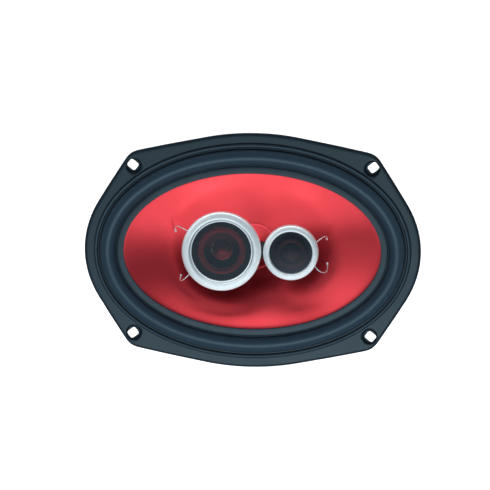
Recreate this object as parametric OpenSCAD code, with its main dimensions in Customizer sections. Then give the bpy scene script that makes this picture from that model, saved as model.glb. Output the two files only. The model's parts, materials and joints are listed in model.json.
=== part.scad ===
// Coaxial three-way car speaker in an oval frame.
// Millimetres, +X along the long axis, +Z out of the front where the sound leaves.
// The origin is the centre of the mounting plane, which the frame's rolled rim stands on.

/* [Frame] */
// Half length of the cone's visible ellipse
cone_half_length = 90; // [88:0.5:92]
// Half width of the cone's visible ellipse
cone_half_width = 54.7; // [53:0.1:56]
// From the edge of the visible cone to the edge of the frame
flange_margin = 28.2; // [27.5:0.1:29]
// Radius of the four corner ears
ear_r = 11.2; // [10:0.1:12]
// Centre of an ear along X
ear_x = 79; // [78:0.5:81]
// Centre of an ear along Y
ear_y = 59; // [58:0.5:60]
// Distance between the screw holes along X
hole_spacing_x = 168; // [166:0.5:169]
// Distance between the screw holes along Y
hole_spacing_y = 119.5; // [118:0.5:121]
// Radius of a screw hole
hole_r = 3.3; // [2.5:0.1:3.6]
// Radius of the round seat that is pressed down round each screw hole
seat_r = 5; // [4.8:0.1:5.2]
// How far the seat's middle lies towards the speaker's centre from its hole
seat_shift = 1; // [0.5:0.1:1.2]
// Thickness of the frame's steel
steel = 1.2; // [1:0.1:1.4]
// Height of the frame's front skin above the mounting plane
skin_top = 4; // [3.8:0.1:4.5]
// Number of windows in the frame's bowl
window_count = 6; // [6:2:8]
// Angle that each leg between two windows takes
leg_angle = 16; // [12:1:20]

/* [Cone and suspension] */
// Height of the cone's flat rim
rim_z = 4.7; // [4.5:0.1:5]
// Height of the cone's neck
neck_z = -22; // [-23:0.5:-21]
// Wall of the cone, measured straight up
cone_wall = 0.8; // [0.6:0.1:1]
// Bend of the cone's side, where 1 is straight
cone_flare = 1.08; // [1:0.01:1.15]
// Radius of the surround's half roll
roll_r = 5.5; // [5:0.1:5.8]
// Wall of the surround
roll_wall = 0.6; // [0.5:0.1:0.8]
// Height of the ledge that the spider is glued to
ledge_z = -31.8; // [-33:0.1:-31]
// Outer radius of the spider
spider_r = 44; // [43:0.5:45]
// Radius of the voice coil former, outside
former_r = 15.4; // [15.3:0.1:15.5]

/* [Motor] */
// Radius of the steel plates
plate_r = 40; // [38:0.5:40.5]
// Thickness of each steel plate
plate_h = 5; // [4:0.5:6]
// Outer radius of the ferrite ring
ferrite_r = 43; // [41:0.5:44]
// Thickness of the ferrite ring
ferrite_h = 16; // [14:0.5:18]
// Radius of the pole
pole_r = 14.7; // [14.5:0.1:14.8]
// Radius of the hole in the top plate
gap_r = 16.6; // [16.5:0.1:17]
// Radius of the post that carries the small speakers
post_r = 5; // [4.5:0.1:5.3]

/* [Midrange and tweeter] */
// Centre of the midrange along X
mid_x = -21.3; // [-22:0.1:-21]
// Outer radius of the midrange's silver ring
mid_ring_r = 27.8; // [27:0.1:28]
// Front of the midrange's silver ring
mid_front = 9; // [8.5:0.1:10]
// Centre of the tweeter along X
tweeter_x = 27.4; // [27:0.1:28]
// Outer radius of the tweeter's silver ring
tweeter_ring_r = 19.3; // [19:0.1:19.6]
// Front of the tweeter's silver ring
tweeter_front = 10.5; // [10:0.1:11]

/* [Leads and terminals] */
// Radius of the braided leads
lead_r = 0.4; // [0.3:0.05:0.45]
// Width of the positive terminal blade
positive_w = 4.8; // [4:0.1:5]
// Width of the negative terminal blade
negative_w = 2.8; // [2:0.1:3]

/* [Hidden] */

$fn = 72;
ring_steps = 72;        // steps round the oval
fit = 0.3;              // clearance between pieces that move past each other

wall_out = 16.5;        // inside of the frame's upright wall, from the visible cone's edge
wall_low = -8;          // where the upright wall turns into the bowl
ledge_in = 39.9;        // inside of the frame's lower cup
ledge_out = 47.5;       // outside of the spider's ledge
gasket_in = 17.8;
gasket_out = 21.5;
gasket_top = 6.6;
lip_z = rim_z + fit;    // underside of the surround's inner lip
roll_out = 6 + roll_r;  // middle of the half roll, from the visible cone's edge
neck_r = former_r + 0.1;

cup_floor = -44;                        // top of the frame's bottom plate
plate_top = cup_floor - steel;          // top of the top plate
plate_low = plate_top - plate_h;
ferrite_low = plate_low - ferrite_h;
back_low = ferrite_low - plate_h;       // lowest face, on which the speaker stands
rivet_circle = 30;
rivet_r = 2;
socket_low = plate_top - 15;            // bottom of the post's socket in the pole
bridge_top = -3.5;
bridge_low = -8;
bridge_bar = 11;                        // width of the bar that carries the tweeter
capacitor_x = -8;

board_y = -41.6;        // flat pad on the frame's cup that carries the terminal board
board_h = 1.6;
tab_h = 0.8;
tab_z = -37;
tab_x = 8.5;

// Routes of the leads, from the small speakers' housings to the eyelets on the cone
route_mid_upper = [[-44.4, 12.9, 1.6], [-47.4, 14.6, 2.2], [-50.4, 16.1, 1.8], [-53, 16.7, 0.1],
    [-54.5, 15.9, -2.3], [-54.8, 14.1, -4.4], [-54.7, 12.2, -5.4]];
route_mid_lower = [[-42.8, -16.2, 1.6], [-45.2, -18.4, 2.1], [-47.7, -20.7, 1.4],
    [-49.8, -22.2, -0.6], [-50.8, -21.9, -2.8], [-50.9, -20.6, -4.3], [-50.7, -19.3, -4.9]];
route_tweeter_upper = [[44.6, 6.8, 2.4], [46.6, 8.4, 2.9], [48.8, 9.8, 2.2], [50.9, 10.8, 0],
    [52.1, 10.6, -2.9], [52.2, 9.2, -5.3], [52.1, 7.8, -6.4]];
route_tweeter_lower = [[43.8, -8.8, 2.4], [45.6, -11.8, 2.9], [48.2, -14, 2.2], [51, -14.9, 0],
    [52.8, -14, -2.9], [53, -11.8, -5], [52.9, -9.8, -5.9]];
// Route of a lead from a terminal, out through a window and in to the back of the cone
route_terminal = [[tab_x, -45, -36.6], [tab_x, -47.4, -36.2], [8.3, -50, -34.4],
    [8, -52, -31.4], [7.6, -52.4, -28], [7.2, -51, -24.6], [6.7, -48, -21.6], [6.2, -44, -19.2],
    [5.7, -40, -17.4], [5.3, -36, -16.2], [5, -32.4, -15.2], [5, -30.2, -13.9]];

// ---- shared shapes ----

function mix(from, to, share) = from + (to - from) * share;

// Point at angle t on the curve that runs `out` outside the ellipse of half axes a and b
function oval_point(t, out, a = cone_half_length, b = cone_half_width) =
    let (n = norm([b * cos(t), a * sin(t)]))
    [(a + out * b / n) * cos(t), (b + out * a / n) * sin(t)];

// Area inside the curve that runs `out` outside the visible cone
module oval_area(out) {
    polygon([for (i = [0:ring_steps - 1]) oval_point(360 * i / ring_steps, out)]);
}

// Closed band round the oval. Each section is [a, b, out, z], listed outwards along the
// underside and back inwards along the top.
module oval_band(sections) {
    m = len(sections);
    n = ring_steps;
    points = [for (s = sections) for (i = [0:n - 1])
        let (p = oval_point(360 * i / n, s[2], s[0], s[1])) [p[0], p[1], s[3]]];
    faces = [for (k = [0:m - 1]) for (i = [0:n - 1])
        let (j = (i + 1) % n, l = (k + 1) % m)
        for (f = [[k * n + i, l * n + i, l * n + j], [k * n + i, l * n + j, k * n + j]]) f];
    polyhedron(points, faces);
}

// Section of a band that keeps its distance from the visible cone's edge
function on_oval(out, z) = [cone_half_length, cone_half_width, out, z];

// Section of a band that is a plain circle
function on_circle(r, z) = [r, r, 0, z];

// Section of the cone's side, from 0 at the neck to 1 at the edge of the visible ellipse
function on_cone(share, drop) = [mix(neck_r, cone_half_length, share),
    mix(neck_r, cone_half_width, share), 0, cone_z(share) - drop];
function cone_z(share) = mix(neck_z, rim_z, pow(share, cone_flare));

// Share of the way up the cone's side above the point (x, y), found by halving
function cone_share(x, y, low = 0, high = 1, turns = 16) =
    let (half = (low + high) / 2, s = on_cone(half, 0))
    turns == 0 ? half
    : norm([x / s[0], y / s[1]]) > 1 ? cone_share(x, y, half, high, turns - 1)
    : cone_share(x, y, low, half, turns - 1);

// Round tube of radius r swept along a route of points
module swept_tube(route, r, sides = 8) {
    last = len(route) - 1;
    function aim(k) = let (d = route[min(k + 1, last)] - route[max(k - 1, 0)]) d / norm(d);
    function side_of(d) = let (c = cross(d, [0, 0, 1])) c / norm(c);
    rings = [for (k = [0:last]) let (d = aim(k), u = side_of(d), v = cross(d, u))
        for (i = [0:sides - 1]) let (t = 360 * i / sides) route[k] + r * (cos(t) * u + sin(t) * v)];
    walls = [for (k = [0:last - 1]) for (i = [0:sides - 1])
        let (j = (i + 1) % sides, a = k * sides, b = a + sides)
        for (f = [[a + i, b + j, b + i], [a + i, a + j, b + j]]) f];
    start = [for (i = [1:sides - 2]) [0, i + 1, i]];
    end = [for (i = [1:sides - 2]) [last * sides, last * sides + i, last * sides + i + 1]];
    polyhedron(rings, concat(walls, start, end));
}

// Disc or ring turned round Z from an outline of [radius, height] points
module turned(outline) rotate_extrude() polygon(outline);

module ring(inner, outer, low, high) {
    turned([[inner, low], [outer, low], [outer, high], [inner, high]]);
}

// Thin shell that bulges up by `rise` over a circle of radius r
module cap_shell(r, low, rise, wall) {
    steps = 8;
    function bulge(k) = low + rise * (1 - pow(k / steps, 2));
    turned(concat([for (k = [0:steps]) [r * k / steps, bulge(k)]],
        [for (k = [steps:-1:0]) [r * k / steps, bulge(k) + wall]]));
}

module at_mid() translate([mid_x, 0, 0]) children();
module at_tweeter() translate([tweeter_x, 0, 0]) children();

module each_hole() {
    for (x = [-1, 1], y = [-1, 1]) translate([x * hole_spacing_x / 2, y * hole_spacing_y / 2, 0])
        children();
}

module each_seat() {
    shift = 1 - seat_shift / norm([hole_spacing_x, hole_spacing_y] / 2);
    for (x = [-1, 1], y = [-1, 1])
        translate([x * hole_spacing_x / 2 * shift, y * hole_spacing_y / 2 * shift, 0]) children();
}

module each_rivet() {
    for (i = [0:3]) rotate([0, 0, 45 + 90 * i]) translate([rivet_circle, 0, 0]) children();
}

// ---- frame ----

module flange_outline() {
    hull() {
        oval_area(flange_margin);
        for (x = [-1, 1], y = [-1, 1]) translate([x * ear_x, y * ear_y]) circle(r = ear_r);
    }
}

// One opening in the bowl, seen from the front
module window_area(middle) {
    half = 180 / window_count - leg_angle / 2;
    steps = 10;
    function at(k) = middle + half * (2 * k / steps - 1);
    polygon(concat([for (k = [0:steps]) oval_point(at(k), wall_out - 4)],
        [for (k = [steps:-1:0]) (ledge_out + 1.5) * [cos(at(k)), sin(at(k))]]));
}

module basket() color("#2c3238") {
    difference() {
        union() {
            translate([0, 0, skin_top - steel]) linear_extrude(steel) difference() {
                offset(delta = -0.6) flange_outline();
                oval_area(wall_out + 0.4);
            }
            linear_extrude(skin_top - 0.6) difference() {
                flange_outline();
                offset(delta = -steel) flange_outline();
            }
            difference() {
                oval_band([on_oval(wall_out + steel, wall_low), on_oval(wall_out + steel, skin_top - 0.4),
                    on_oval(wall_out, skin_top - 0.4), on_oval(wall_out, wall_low),
                    on_circle(ledge_out - 1.8, ledge_z - 0.4), on_circle(ledge_out - 0.6, ledge_z - 1.2)]);
                for (i = [0:window_count - 1]) translate([0, 0, ledge_z + 0.5])
                    linear_extrude(wall_low - ledge_z - 1.5) window_area((i + 0.5) * 360 / window_count);
            }
            turned([[ledge_in, ledge_z], [ledge_out, ledge_z], [ledge_out, ledge_z - 1.4],
                [ledge_in + steel, ledge_z - 1.4], [ledge_in + steel, plate_top],
                [gap_r + 0.9, plate_top], [gap_r + 0.9, cup_floor], [ledge_in, cup_floor]]);
            terminal_pad();
            each_seat() cylinder(r = seat_r + 1, h = skin_top - 0.3);
        }
        each_seat() translate([0, 0, steel]) cylinder(r = seat_r, h = skin_top);
        each_hole() translate([0, 0, -1]) cylinder(r = hole_r, h = skin_top);
        terminal_rivet_holes();
        each_rivet() translate([0, 0, plate_top - 1]) cylinder(r = rivet_r, h = steel + 2);
    }
}

module terminal_pad() {
    difference() {
        translate([-15, board_y, plate_top + 0.4]) cube([30, 8, ledge_z - plate_top - 1]);
        translate([0, 0, plate_top]) cylinder(r = ledge_in + 0.4, h = 20);
    }
}

module terminal_rivet_holes() {
    for (x = [-1, 1]) translate([x * 3, board_y + 3, tab_z - 2]) rotate([90, 0, 0])
        cylinder(r = 1, h = 6);
}

module front_gasket() color("#20262b") {
    oval_band([on_oval(gasket_in, skin_top + 0.8), on_oval(gasket_out, skin_top + 0.8),
        on_oval(gasket_out, gasket_top - 0.6), on_oval(gasket_out - 0.7, gasket_top),
        on_oval(gasket_in + 0.7, gasket_top), on_oval(gasket_in, gasket_top - 0.6)]);
}

module surround() {
    steps = 8;
    lip_top = lip_z + roll_wall;
    outer_r = roll_r + roll_wall / 2;
    inner_r = roll_r - roll_wall / 2;
    // The roll stands on the inner lip at one side and on the frame's skin at the other
    function base(t) = mix(lip_z, skin_top, (1 - cos(t)) / 2);
    under = [for (k = [0:steps]) let (t = 180 * k / steps)
        on_oval(roll_out - inner_r * cos(t), base(t) + inner_r * sin(t))];
    over = [for (k = [steps:-1:0]) let (t = 180 * k / steps)
        on_oval(roll_out - outer_r * cos(t), base(t) + roll_wall + (outer_r - roll_wall) * sin(t))];
    color("#3d4a55") oval_band(concat([on_oval(0, lip_z)], under,
        [on_oval(gasket_out, skin_top), on_oval(gasket_out, skin_top + 0.8)], over,
        [on_oval(0, lip_top)]));
}

module spider() {
    cloth = 0.5;
    inner = former_r + fit;
    first = 19;
    last = 39;
    waves = 5;
    steps = 40;
    function wave(k) = 1.2 * sin(360 * waves * k / steps);
    color("#b08a4a") turned(concat([[inner, ledge_z]],
        [for (k = [0:steps]) [mix(first, last, k / steps), ledge_z + wave(k)]],
        [[spider_r, ledge_z], [spider_r, ledge_z + cloth]],
        [for (k = [steps:-1:0]) [mix(first, last, k / steps), ledge_z + cloth + wave(k)]],
        [[inner, ledge_z + cloth]]));
}

// ---- motor ----

module top_plate() color("#a9adb0") {
    difference() {
        ring(gap_r, plate_r, plate_low, plate_top);
        each_rivet() translate([0, 0, plate_low - 1]) cylinder(r = rivet_r, h = plate_h + 2);
    }
}

module magnet() color("#33363a") {
    edge = 0.8;
    turned([[20, ferrite_low], [ferrite_r - edge, ferrite_low], [ferrite_r, ferrite_low + edge],
        [ferrite_r, plate_low - edge], [ferrite_r - edge, plate_low], [20, plate_low]]);
}

module back_plate() color("#a9adb0") {
    edge = 1;
    turned([[5, back_low], [plate_r - edge, back_low], [plate_r, back_low + edge],
        [plate_r, ferrite_low], [pole_r + 3, ferrite_low], [pole_r, ferrite_low + 3],
        [pole_r, plate_top], [4, plate_top], [4, socket_low], [2, socket_low],
        [2, back_low + 4], [5, back_low + 4]]);
}

module plate_rivets() color("#c9ccce") {
    each_rivet() turned([[0, plate_low], [rivet_r, plate_low], [rivet_r, cup_floor],
        [3.4, cup_floor], [3.1, cup_floor + 1], [0, cup_floor + 1]]);
}

module centre_post() color("#2a2d30") {
    turned([[1.5, socket_low], [3.95, socket_low], [3.95, plate_top], [post_r, plate_top],
        [post_r, bridge_low - 2], [0, bridge_low - 2], [0, -50], [1.5, -50]]);
}

module post_screw() color("#c9ccce") {
    difference() {
        turned([[0, back_low + 0.9], [3.6, back_low + 0.9], [3.6, back_low + 4],
            [1.5, back_low + 4], [1.5, -51], [0, -51]]);
        translate([0, 0, back_low]) cylinder(r = 1.8, h = 2.6, $fn = 6);
    }
}

module bridge() color("#1d2023") {
    difference() {
        union() {
            translate([0, 0, bridge_low]) linear_extrude(bridge_top - bridge_low) {
                hull() for (x = [mid_x, capacitor_x - 1]) translate([x, 0]) circle(r = 13);
                translate([tweeter_x, 0]) circle(r = 9);
                translate([0, -bridge_bar / 2]) square([tweeter_x, bridge_bar]);
            }
            translate([0, 0, bridge_low - 2]) cylinder(r = post_r + 0.8, h = 3);
        }
        translate([mid_x, 0, bridge_low - 3]) cylinder(r = 9.3, h = 8);
    }
}

// ---- midrange ----

module mid_housing() color("#1d2023") at_mid() {
    turned([[9.3, bridge_top], [20, bridge_top], [26.6, 1], [26.6, 5], [22, 5], [22, 1.6],
        [17.5, 1.6], [17.5, -1.2], [16.3, -2.4], [9.3, -2.4]]);
}

module mid_trim_ring() color("#d3e3ea") at_mid() {
    turned([[22.3, 5], [26.7, 5], [26.7, 2.5], [mid_ring_r, 2.5], [mid_ring_r, mid_front - 1.8],
        [mid_ring_r - 0.7, mid_front - 0.5], [mid_ring_r - 2, mid_front],
        [23.6, mid_front], [22.6, mid_front - 0.6], [22.3, mid_front - 1.4]]);
}

module mid_bezel_ring() color("#c6d3d9") at_mid() {
    turned([[20.95, 2.2], [21.9, 2.2], [21.9, 6.9], [21.6, 7.2], [21.2, 7.2], [20.95, 6.9]]);
}

module mid_grille() color("#23292e") at_mid() ring(0, 20.95, 6, 6.5);

module mid_yoke() color("#8d9194") at_mid() {
    turned([[0, -8.4], [9.2, -8.4], [9.2, -3.6], [7.9, -3.6], [7.9, -7.2], [0, -7.2]]);
}

module mid_magnet() color("#8d9194") at_mid() ring(0, 6, -7.2, -4.8);

module mid_top_plate() color("#a9adb0") at_mid() ring(0, 6.3, -4.8, -3.7);

module mid_surround() color("#b3222e") at_mid() {
    // Inner lip, half roll and the outer rim that the bezel ring clamps
    crest = 15;
    over = [for (k = [0:6]) let (t = 30 * k) [crest - 1.7 * cos(t), 2.1 + 1.4 * sin(t)]];
    under = [for (k = [6:-1:0]) let (t = 30 * k) [crest - 1.4 * cos(t), 1.9 + 1.2 * sin(t)]];
    turned(concat([[12.6, 2.1]], over, [[21.9, 2.1], [21.9, 1.6], [17.4, 1.6]], under, [[12.6, 1.9]]));
}

module mid_cone() color("#d3303f") at_mid() {
    turned([[7.2, -2.6], [12.8, 1.0], [13.5, 1.1], [13.5, 1.5], [12.7, 1.4], [7.2, -2.2]]);
}

module mid_dust_cap() color("#d3303f") at_mid() cap_shell(7.15, -2.4, 1.8, 0.35);

module mid_coil() color("#b5713a") at_mid() ring(6.85, 7.15, -6, -2.5);

// ---- tweeter ----

module tweeter_housing() color("#1d2023") at_tweeter() {
    turned([[0, bridge_top], [12, bridge_top], [18.4, 0.5], [18.4, 6.2], [14.7, 6.2], [14.7, 3.6],
        [9.3, 3.6], [9.3, -1.5], [0, -1.5]]);
}

module tweeter_trim_ring() color("#d3e3ea") at_tweeter() {
    turned([[14.9, 6.2], [18.5, 6.2], [18.5, 3.5], [tweeter_ring_r, 3.5],
        [tweeter_ring_r, tweeter_front - 1.4], [tweeter_ring_r - 0.6, tweeter_front - 0.4],
        [tweeter_ring_r - 1.6, tweeter_front], [16.4, tweeter_front],
        [15.5, tweeter_front - 0.6], [14.9, tweeter_front - 1.8]]);
}

module tweeter_grille() {
    steps = 8;
    function dome(k) = 7 + 1.4 * (1 - pow(k / steps, 2));
    color("#23292e") at_tweeter() turned(concat([for (k = [0:steps]) [14.2 * k / steps, dome(k) - 0.5]],
        [[14.2, 3.6], [14.65, 3.6], [14.65, 6.8]],
        [for (k = [steps:-1:0]) [14.2 * k / steps, dome(k)]]));
}

module tweeter_yoke() color("#8d9194") at_tweeter() {
    turned([[0, -1.5], [9.2, -1.5], [9.2, 3], [7.6, 3], [7.6, -0.5], [0, -0.5]]);
}

module tweeter_magnet() color("#8d9194") at_tweeter() ring(0, 5.6, -0.5, 1.9);

module tweeter_top_plate() color("#a9adb0") at_tweeter() ring(0, 5.9, 1.9, 3);

module tweeter_dome() color("#d3303f") at_tweeter() {
    // Domed middle, half roll and flat rim moulded as one film
    film = 0.3;
    outline = concat([for (k = [0:6]) [6.7 * k / 6, 4 + 1.8 * (1 - pow(k / 6, 2))]],
        [for (k = [1:5]) let (t = 36 * k) [9 - 2 * cos(t), 4 + 0.8 * sin(t)]], [[12.4, 4]]);
    turned(concat(outline, [for (k = [len(outline) - 1:-1:0]) outline[k] + [0, film]]));
}

module tweeter_coil() color("#b5713a") at_tweeter() ring(6.5, 6.8, 0.6, 3.95);

// ---- crossover parts under the bridge ----

module lying_can(middle, r, length) {
    translate(middle) rotate([0, 90, 0]) turned([[0, -length / 2], [r - 0.4, -length / 2],
        [r, 0.4 - length / 2], [r, length / 2 - 1.8], [r - 0.4, length / 2 - 1.4],
        [r, length / 2 - 1], [r, length / 2 - 0.3], [r - 0.3, length / 2], [0, length / 2]]);
}

module mid_capacitor() color("#24304a")
    lying_can([capacitor_x, 9.6, bridge_low - 3.2], 3.15, 13);

module tweeter_capacitor() color("#24304a")
    lying_can([capacitor_x, -8.6, bridge_low - 2.7], 2.65, 11);

// ---- terminals on the back ----

module terminal_board() color("#6b4a2c") {
    difference() {
        translate([-13, board_y - board_h, tab_z - 5.4]) cube([26, board_h, 8.8]);
        terminal_rivet_holes();
    }
}

// Blade that stands on the board and points straight out of the frame
module blade(x, w) {
    foot_y = board_y - board_h - tab_h;
    difference() {
        union() {
            translate([x - w / 2, foot_y, tab_z - 4]) cube([w, tab_h, 5]);
            translate([x - w / 2, foot_y - 9, tab_z]) cube([w, 9.4, tab_h]);
        }
        translate([x, foot_y - 6.5, tab_z - 1]) cylinder(r = 0.7, h = 3);
    }
}

module terminal_tab_positive() color("#c9a24f") blade(tab_x, positive_w);

module terminal_tab_negative() color("#c9ccce") blade(-tab_x, negative_w);

module terminal_rivets() color("#c9ccce") {
    for (x = [-1, 1]) translate([x * 3, board_y + 1.1, tab_z - 2]) rotate([90, 0, 0])
        turned([[0, 0], [1, 0], [1, board_h + 1.1], [1.8, board_h + 1.1], [1.5, board_h + 1.7],
            [0, board_h + 1.7]]);
}

// ---- moving cone ----

module cone() color("#e0303f") {
    shares = [0, 0.2, 0.4, 0.6, 0.8, 1];
    oval_band(concat([for (s = shares) on_cone(s, cone_wall)], [on_oval(5, rim_z - cone_wall)],
        [on_oval(5, rim_z)], [for (k = [5:-1:0]) on_cone(shares[k], 0)]));
}

module cone_eyelets() color("#c9d2d6") {
    for (route = [route_mid_upper, route_mid_lower, route_tweeter_upper, route_tweeter_lower])
        let (end = route[len(route) - 1], z = cone_z(cone_share(end[0], end[1])))
            translate([end[0], end[1], z - 0.5]) turned([[0, 0], [0.9, 0], [0.9, 0.7], [0.6, 1], [0, 1]]);
}

module voice_coil_former() color("#c08a3e") ring(former_r - 0.2, former_r, -52.9, neck_z + 0.2);

module voice_coil_winding() color("#b5713a") ring(former_r, former_r + 0.6, -52.7, -42.7);

module dust_ring() color("#d3303f") ring(post_r + 1, former_r - 0.25, neck_z - 1.4, neck_z - 0.8);

// ---- leads ----

module lead_mid_upper() color("#dfe6ea") swept_tube(route_mid_upper, lead_r);

module lead_mid_lower() color("#dfe6ea") swept_tube(route_mid_lower, lead_r);

module lead_tweeter_upper() color("#dfe6ea") swept_tube(route_tweeter_upper, lead_r);

module lead_tweeter_lower() color("#dfe6ea") swept_tube(route_tweeter_lower, lead_r);

module tinsel_lead_positive() color("#b58a5a") swept_tube(route_terminal, 0.8);

module tinsel_lead_negative() color("#b58a5a") mirror([1, 0, 0]) swept_tube(route_terminal, 0.8);

basket();
front_gasket();
surround();
spider();
top_plate();
magnet();
back_plate();
plate_rivets();
centre_post();
post_screw();
bridge();
mid_housing();
mid_trim_ring();
mid_bezel_ring();
mid_grille();
mid_yoke();
mid_magnet();
mid_top_plate();
mid_surround();
mid_cone();
mid_dust_cap();
mid_coil();
tweeter_housing();
tweeter_trim_ring();
tweeter_grille();
tweeter_yoke();
tweeter_magnet();
tweeter_top_plate();
tweeter_dome();
tweeter_coil();
mid_capacitor();
tweeter_capacitor();
terminal_board();
terminal_tab_positive();
terminal_tab_negative();
terminal_rivets();
cone();
cone_eyelets();
voice_coil_former();
voice_coil_winding();
dust_ring();
lead_mid_upper();
lead_mid_lower();
lead_tweeter_upper();
lead_tweeter_lower();
tinsel_lead_positive();
tinsel_lead_negative();
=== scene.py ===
"""Looks of an oval coaxial car speaker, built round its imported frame.

Lengths in the outlines are millimetres in the row frame: +Z out of the front, +X along the
long axis, the origin in the middle of the mounting plane. Meshes are in metres.
"""

import json
import logging
import math
from abc import ABC, abstractmethod
from dataclasses import dataclass, field
from enum import Enum
from typing import Callable, Iterable, Sequence

import bmesh
import bpy
from mathutils import Matrix, Vector

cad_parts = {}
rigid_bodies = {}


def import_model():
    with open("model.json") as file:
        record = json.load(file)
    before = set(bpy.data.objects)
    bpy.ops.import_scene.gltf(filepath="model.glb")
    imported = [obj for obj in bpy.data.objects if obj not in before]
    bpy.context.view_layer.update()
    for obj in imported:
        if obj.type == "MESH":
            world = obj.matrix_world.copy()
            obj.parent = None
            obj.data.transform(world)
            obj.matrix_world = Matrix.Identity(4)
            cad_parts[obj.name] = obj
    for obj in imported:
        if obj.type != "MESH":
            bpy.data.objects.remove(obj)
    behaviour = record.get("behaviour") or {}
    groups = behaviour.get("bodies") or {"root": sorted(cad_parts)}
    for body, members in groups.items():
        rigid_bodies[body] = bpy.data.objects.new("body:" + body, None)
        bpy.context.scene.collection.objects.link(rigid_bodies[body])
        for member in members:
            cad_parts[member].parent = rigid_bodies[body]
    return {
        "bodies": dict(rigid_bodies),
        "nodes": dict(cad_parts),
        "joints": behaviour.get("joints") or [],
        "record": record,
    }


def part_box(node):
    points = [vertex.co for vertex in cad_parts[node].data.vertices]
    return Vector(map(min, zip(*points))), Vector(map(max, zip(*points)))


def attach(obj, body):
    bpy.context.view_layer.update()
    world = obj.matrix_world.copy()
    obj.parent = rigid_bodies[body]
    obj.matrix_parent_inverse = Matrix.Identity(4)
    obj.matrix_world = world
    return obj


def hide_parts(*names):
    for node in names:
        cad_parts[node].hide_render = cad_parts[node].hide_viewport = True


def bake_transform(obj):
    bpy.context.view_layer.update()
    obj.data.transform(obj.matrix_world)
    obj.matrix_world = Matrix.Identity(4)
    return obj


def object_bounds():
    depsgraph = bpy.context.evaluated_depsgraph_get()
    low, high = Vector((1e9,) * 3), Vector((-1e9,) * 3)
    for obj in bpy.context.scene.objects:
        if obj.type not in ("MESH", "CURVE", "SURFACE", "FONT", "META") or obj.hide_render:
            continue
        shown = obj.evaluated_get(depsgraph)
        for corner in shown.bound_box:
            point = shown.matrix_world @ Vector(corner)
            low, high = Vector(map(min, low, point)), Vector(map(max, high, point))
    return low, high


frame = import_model()
CAD_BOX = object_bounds()

LOG = logging.getLogger("speaker")
MM = 0.001
FULL_TURN = 2 * math.pi
Outline = Sequence[tuple[float, float]]
Station = Callable[[float], Vector]
Triple = tuple[float, float, float]
Colour = Triple


class Body(Enum):
    """The bodies that a piece can ride on."""

    FRAME = "frame"
    WOOFER = "woofer_cone"
    MIDRANGE = "midrange_cone"
    TWEETER = "tweeter_diaphragm"


# ---------------------------------------------------------------- shader maths


class Value:
    """A number socket that takes part in ordinary arithmetic."""

    def __init__(self, graph: "Graph", socket: bpy.types.NodeSocket) -> None:
        """Wraps socket, which belongs to graph."""
        self.graph = graph
        self.socket = socket

    def _with(self, operation: str, first: "Value | float", second: "Value | float") -> "Value":
        """Adds one Math node.

        Args:
            operation: Blender's name of the operation.
            first: The left operand.
            second: The right operand.

        Returns:
            The node's result.
        """
        node = self.graph.node("ShaderNodeMath", {"operation": operation}, {0: first, 1: second})
        return Value(self.graph, node.outputs[0])

    def __add__(self, other: "Value | float") -> "Value":
        """self + other."""
        return self._with("ADD", self, other)

    __radd__ = __add__

    def __sub__(self, other: "Value | float") -> "Value":
        """self - other."""
        return self._with("SUBTRACT", self, other)

    def __rsub__(self, other: float) -> "Value":
        """other - self."""
        return self._with("SUBTRACT", other, self)

    def __mul__(self, other: "Value | float") -> "Value":
        """self * other."""
        return self._with("MULTIPLY", self, other)

    __rmul__ = __mul__

    def __pow__(self, power: float) -> "Value":
        """self ** power."""
        return self._with("POWER", self, power)

    def sine(self) -> "Value":
        """The sine of a value in radians."""
        return self._with("SINE", self, 0.0)

    def between(self, low: float, high: float) -> "Value":
        """Rises smoothly from 0 at low to 1 at high.

        Args:
            low: Where the result leaves 0.
            high: Where the result reaches 1.

        Returns:
            The share of the way from low to high.
        """
        node = self.graph.node("ShaderNodeMapRange", {"interpolation_type": "SMOOTHSTEP"},
                               {"Value": self, "From Min": low, "From Max": high})
        return Value(self.graph, node.outputs["Result"])


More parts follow.
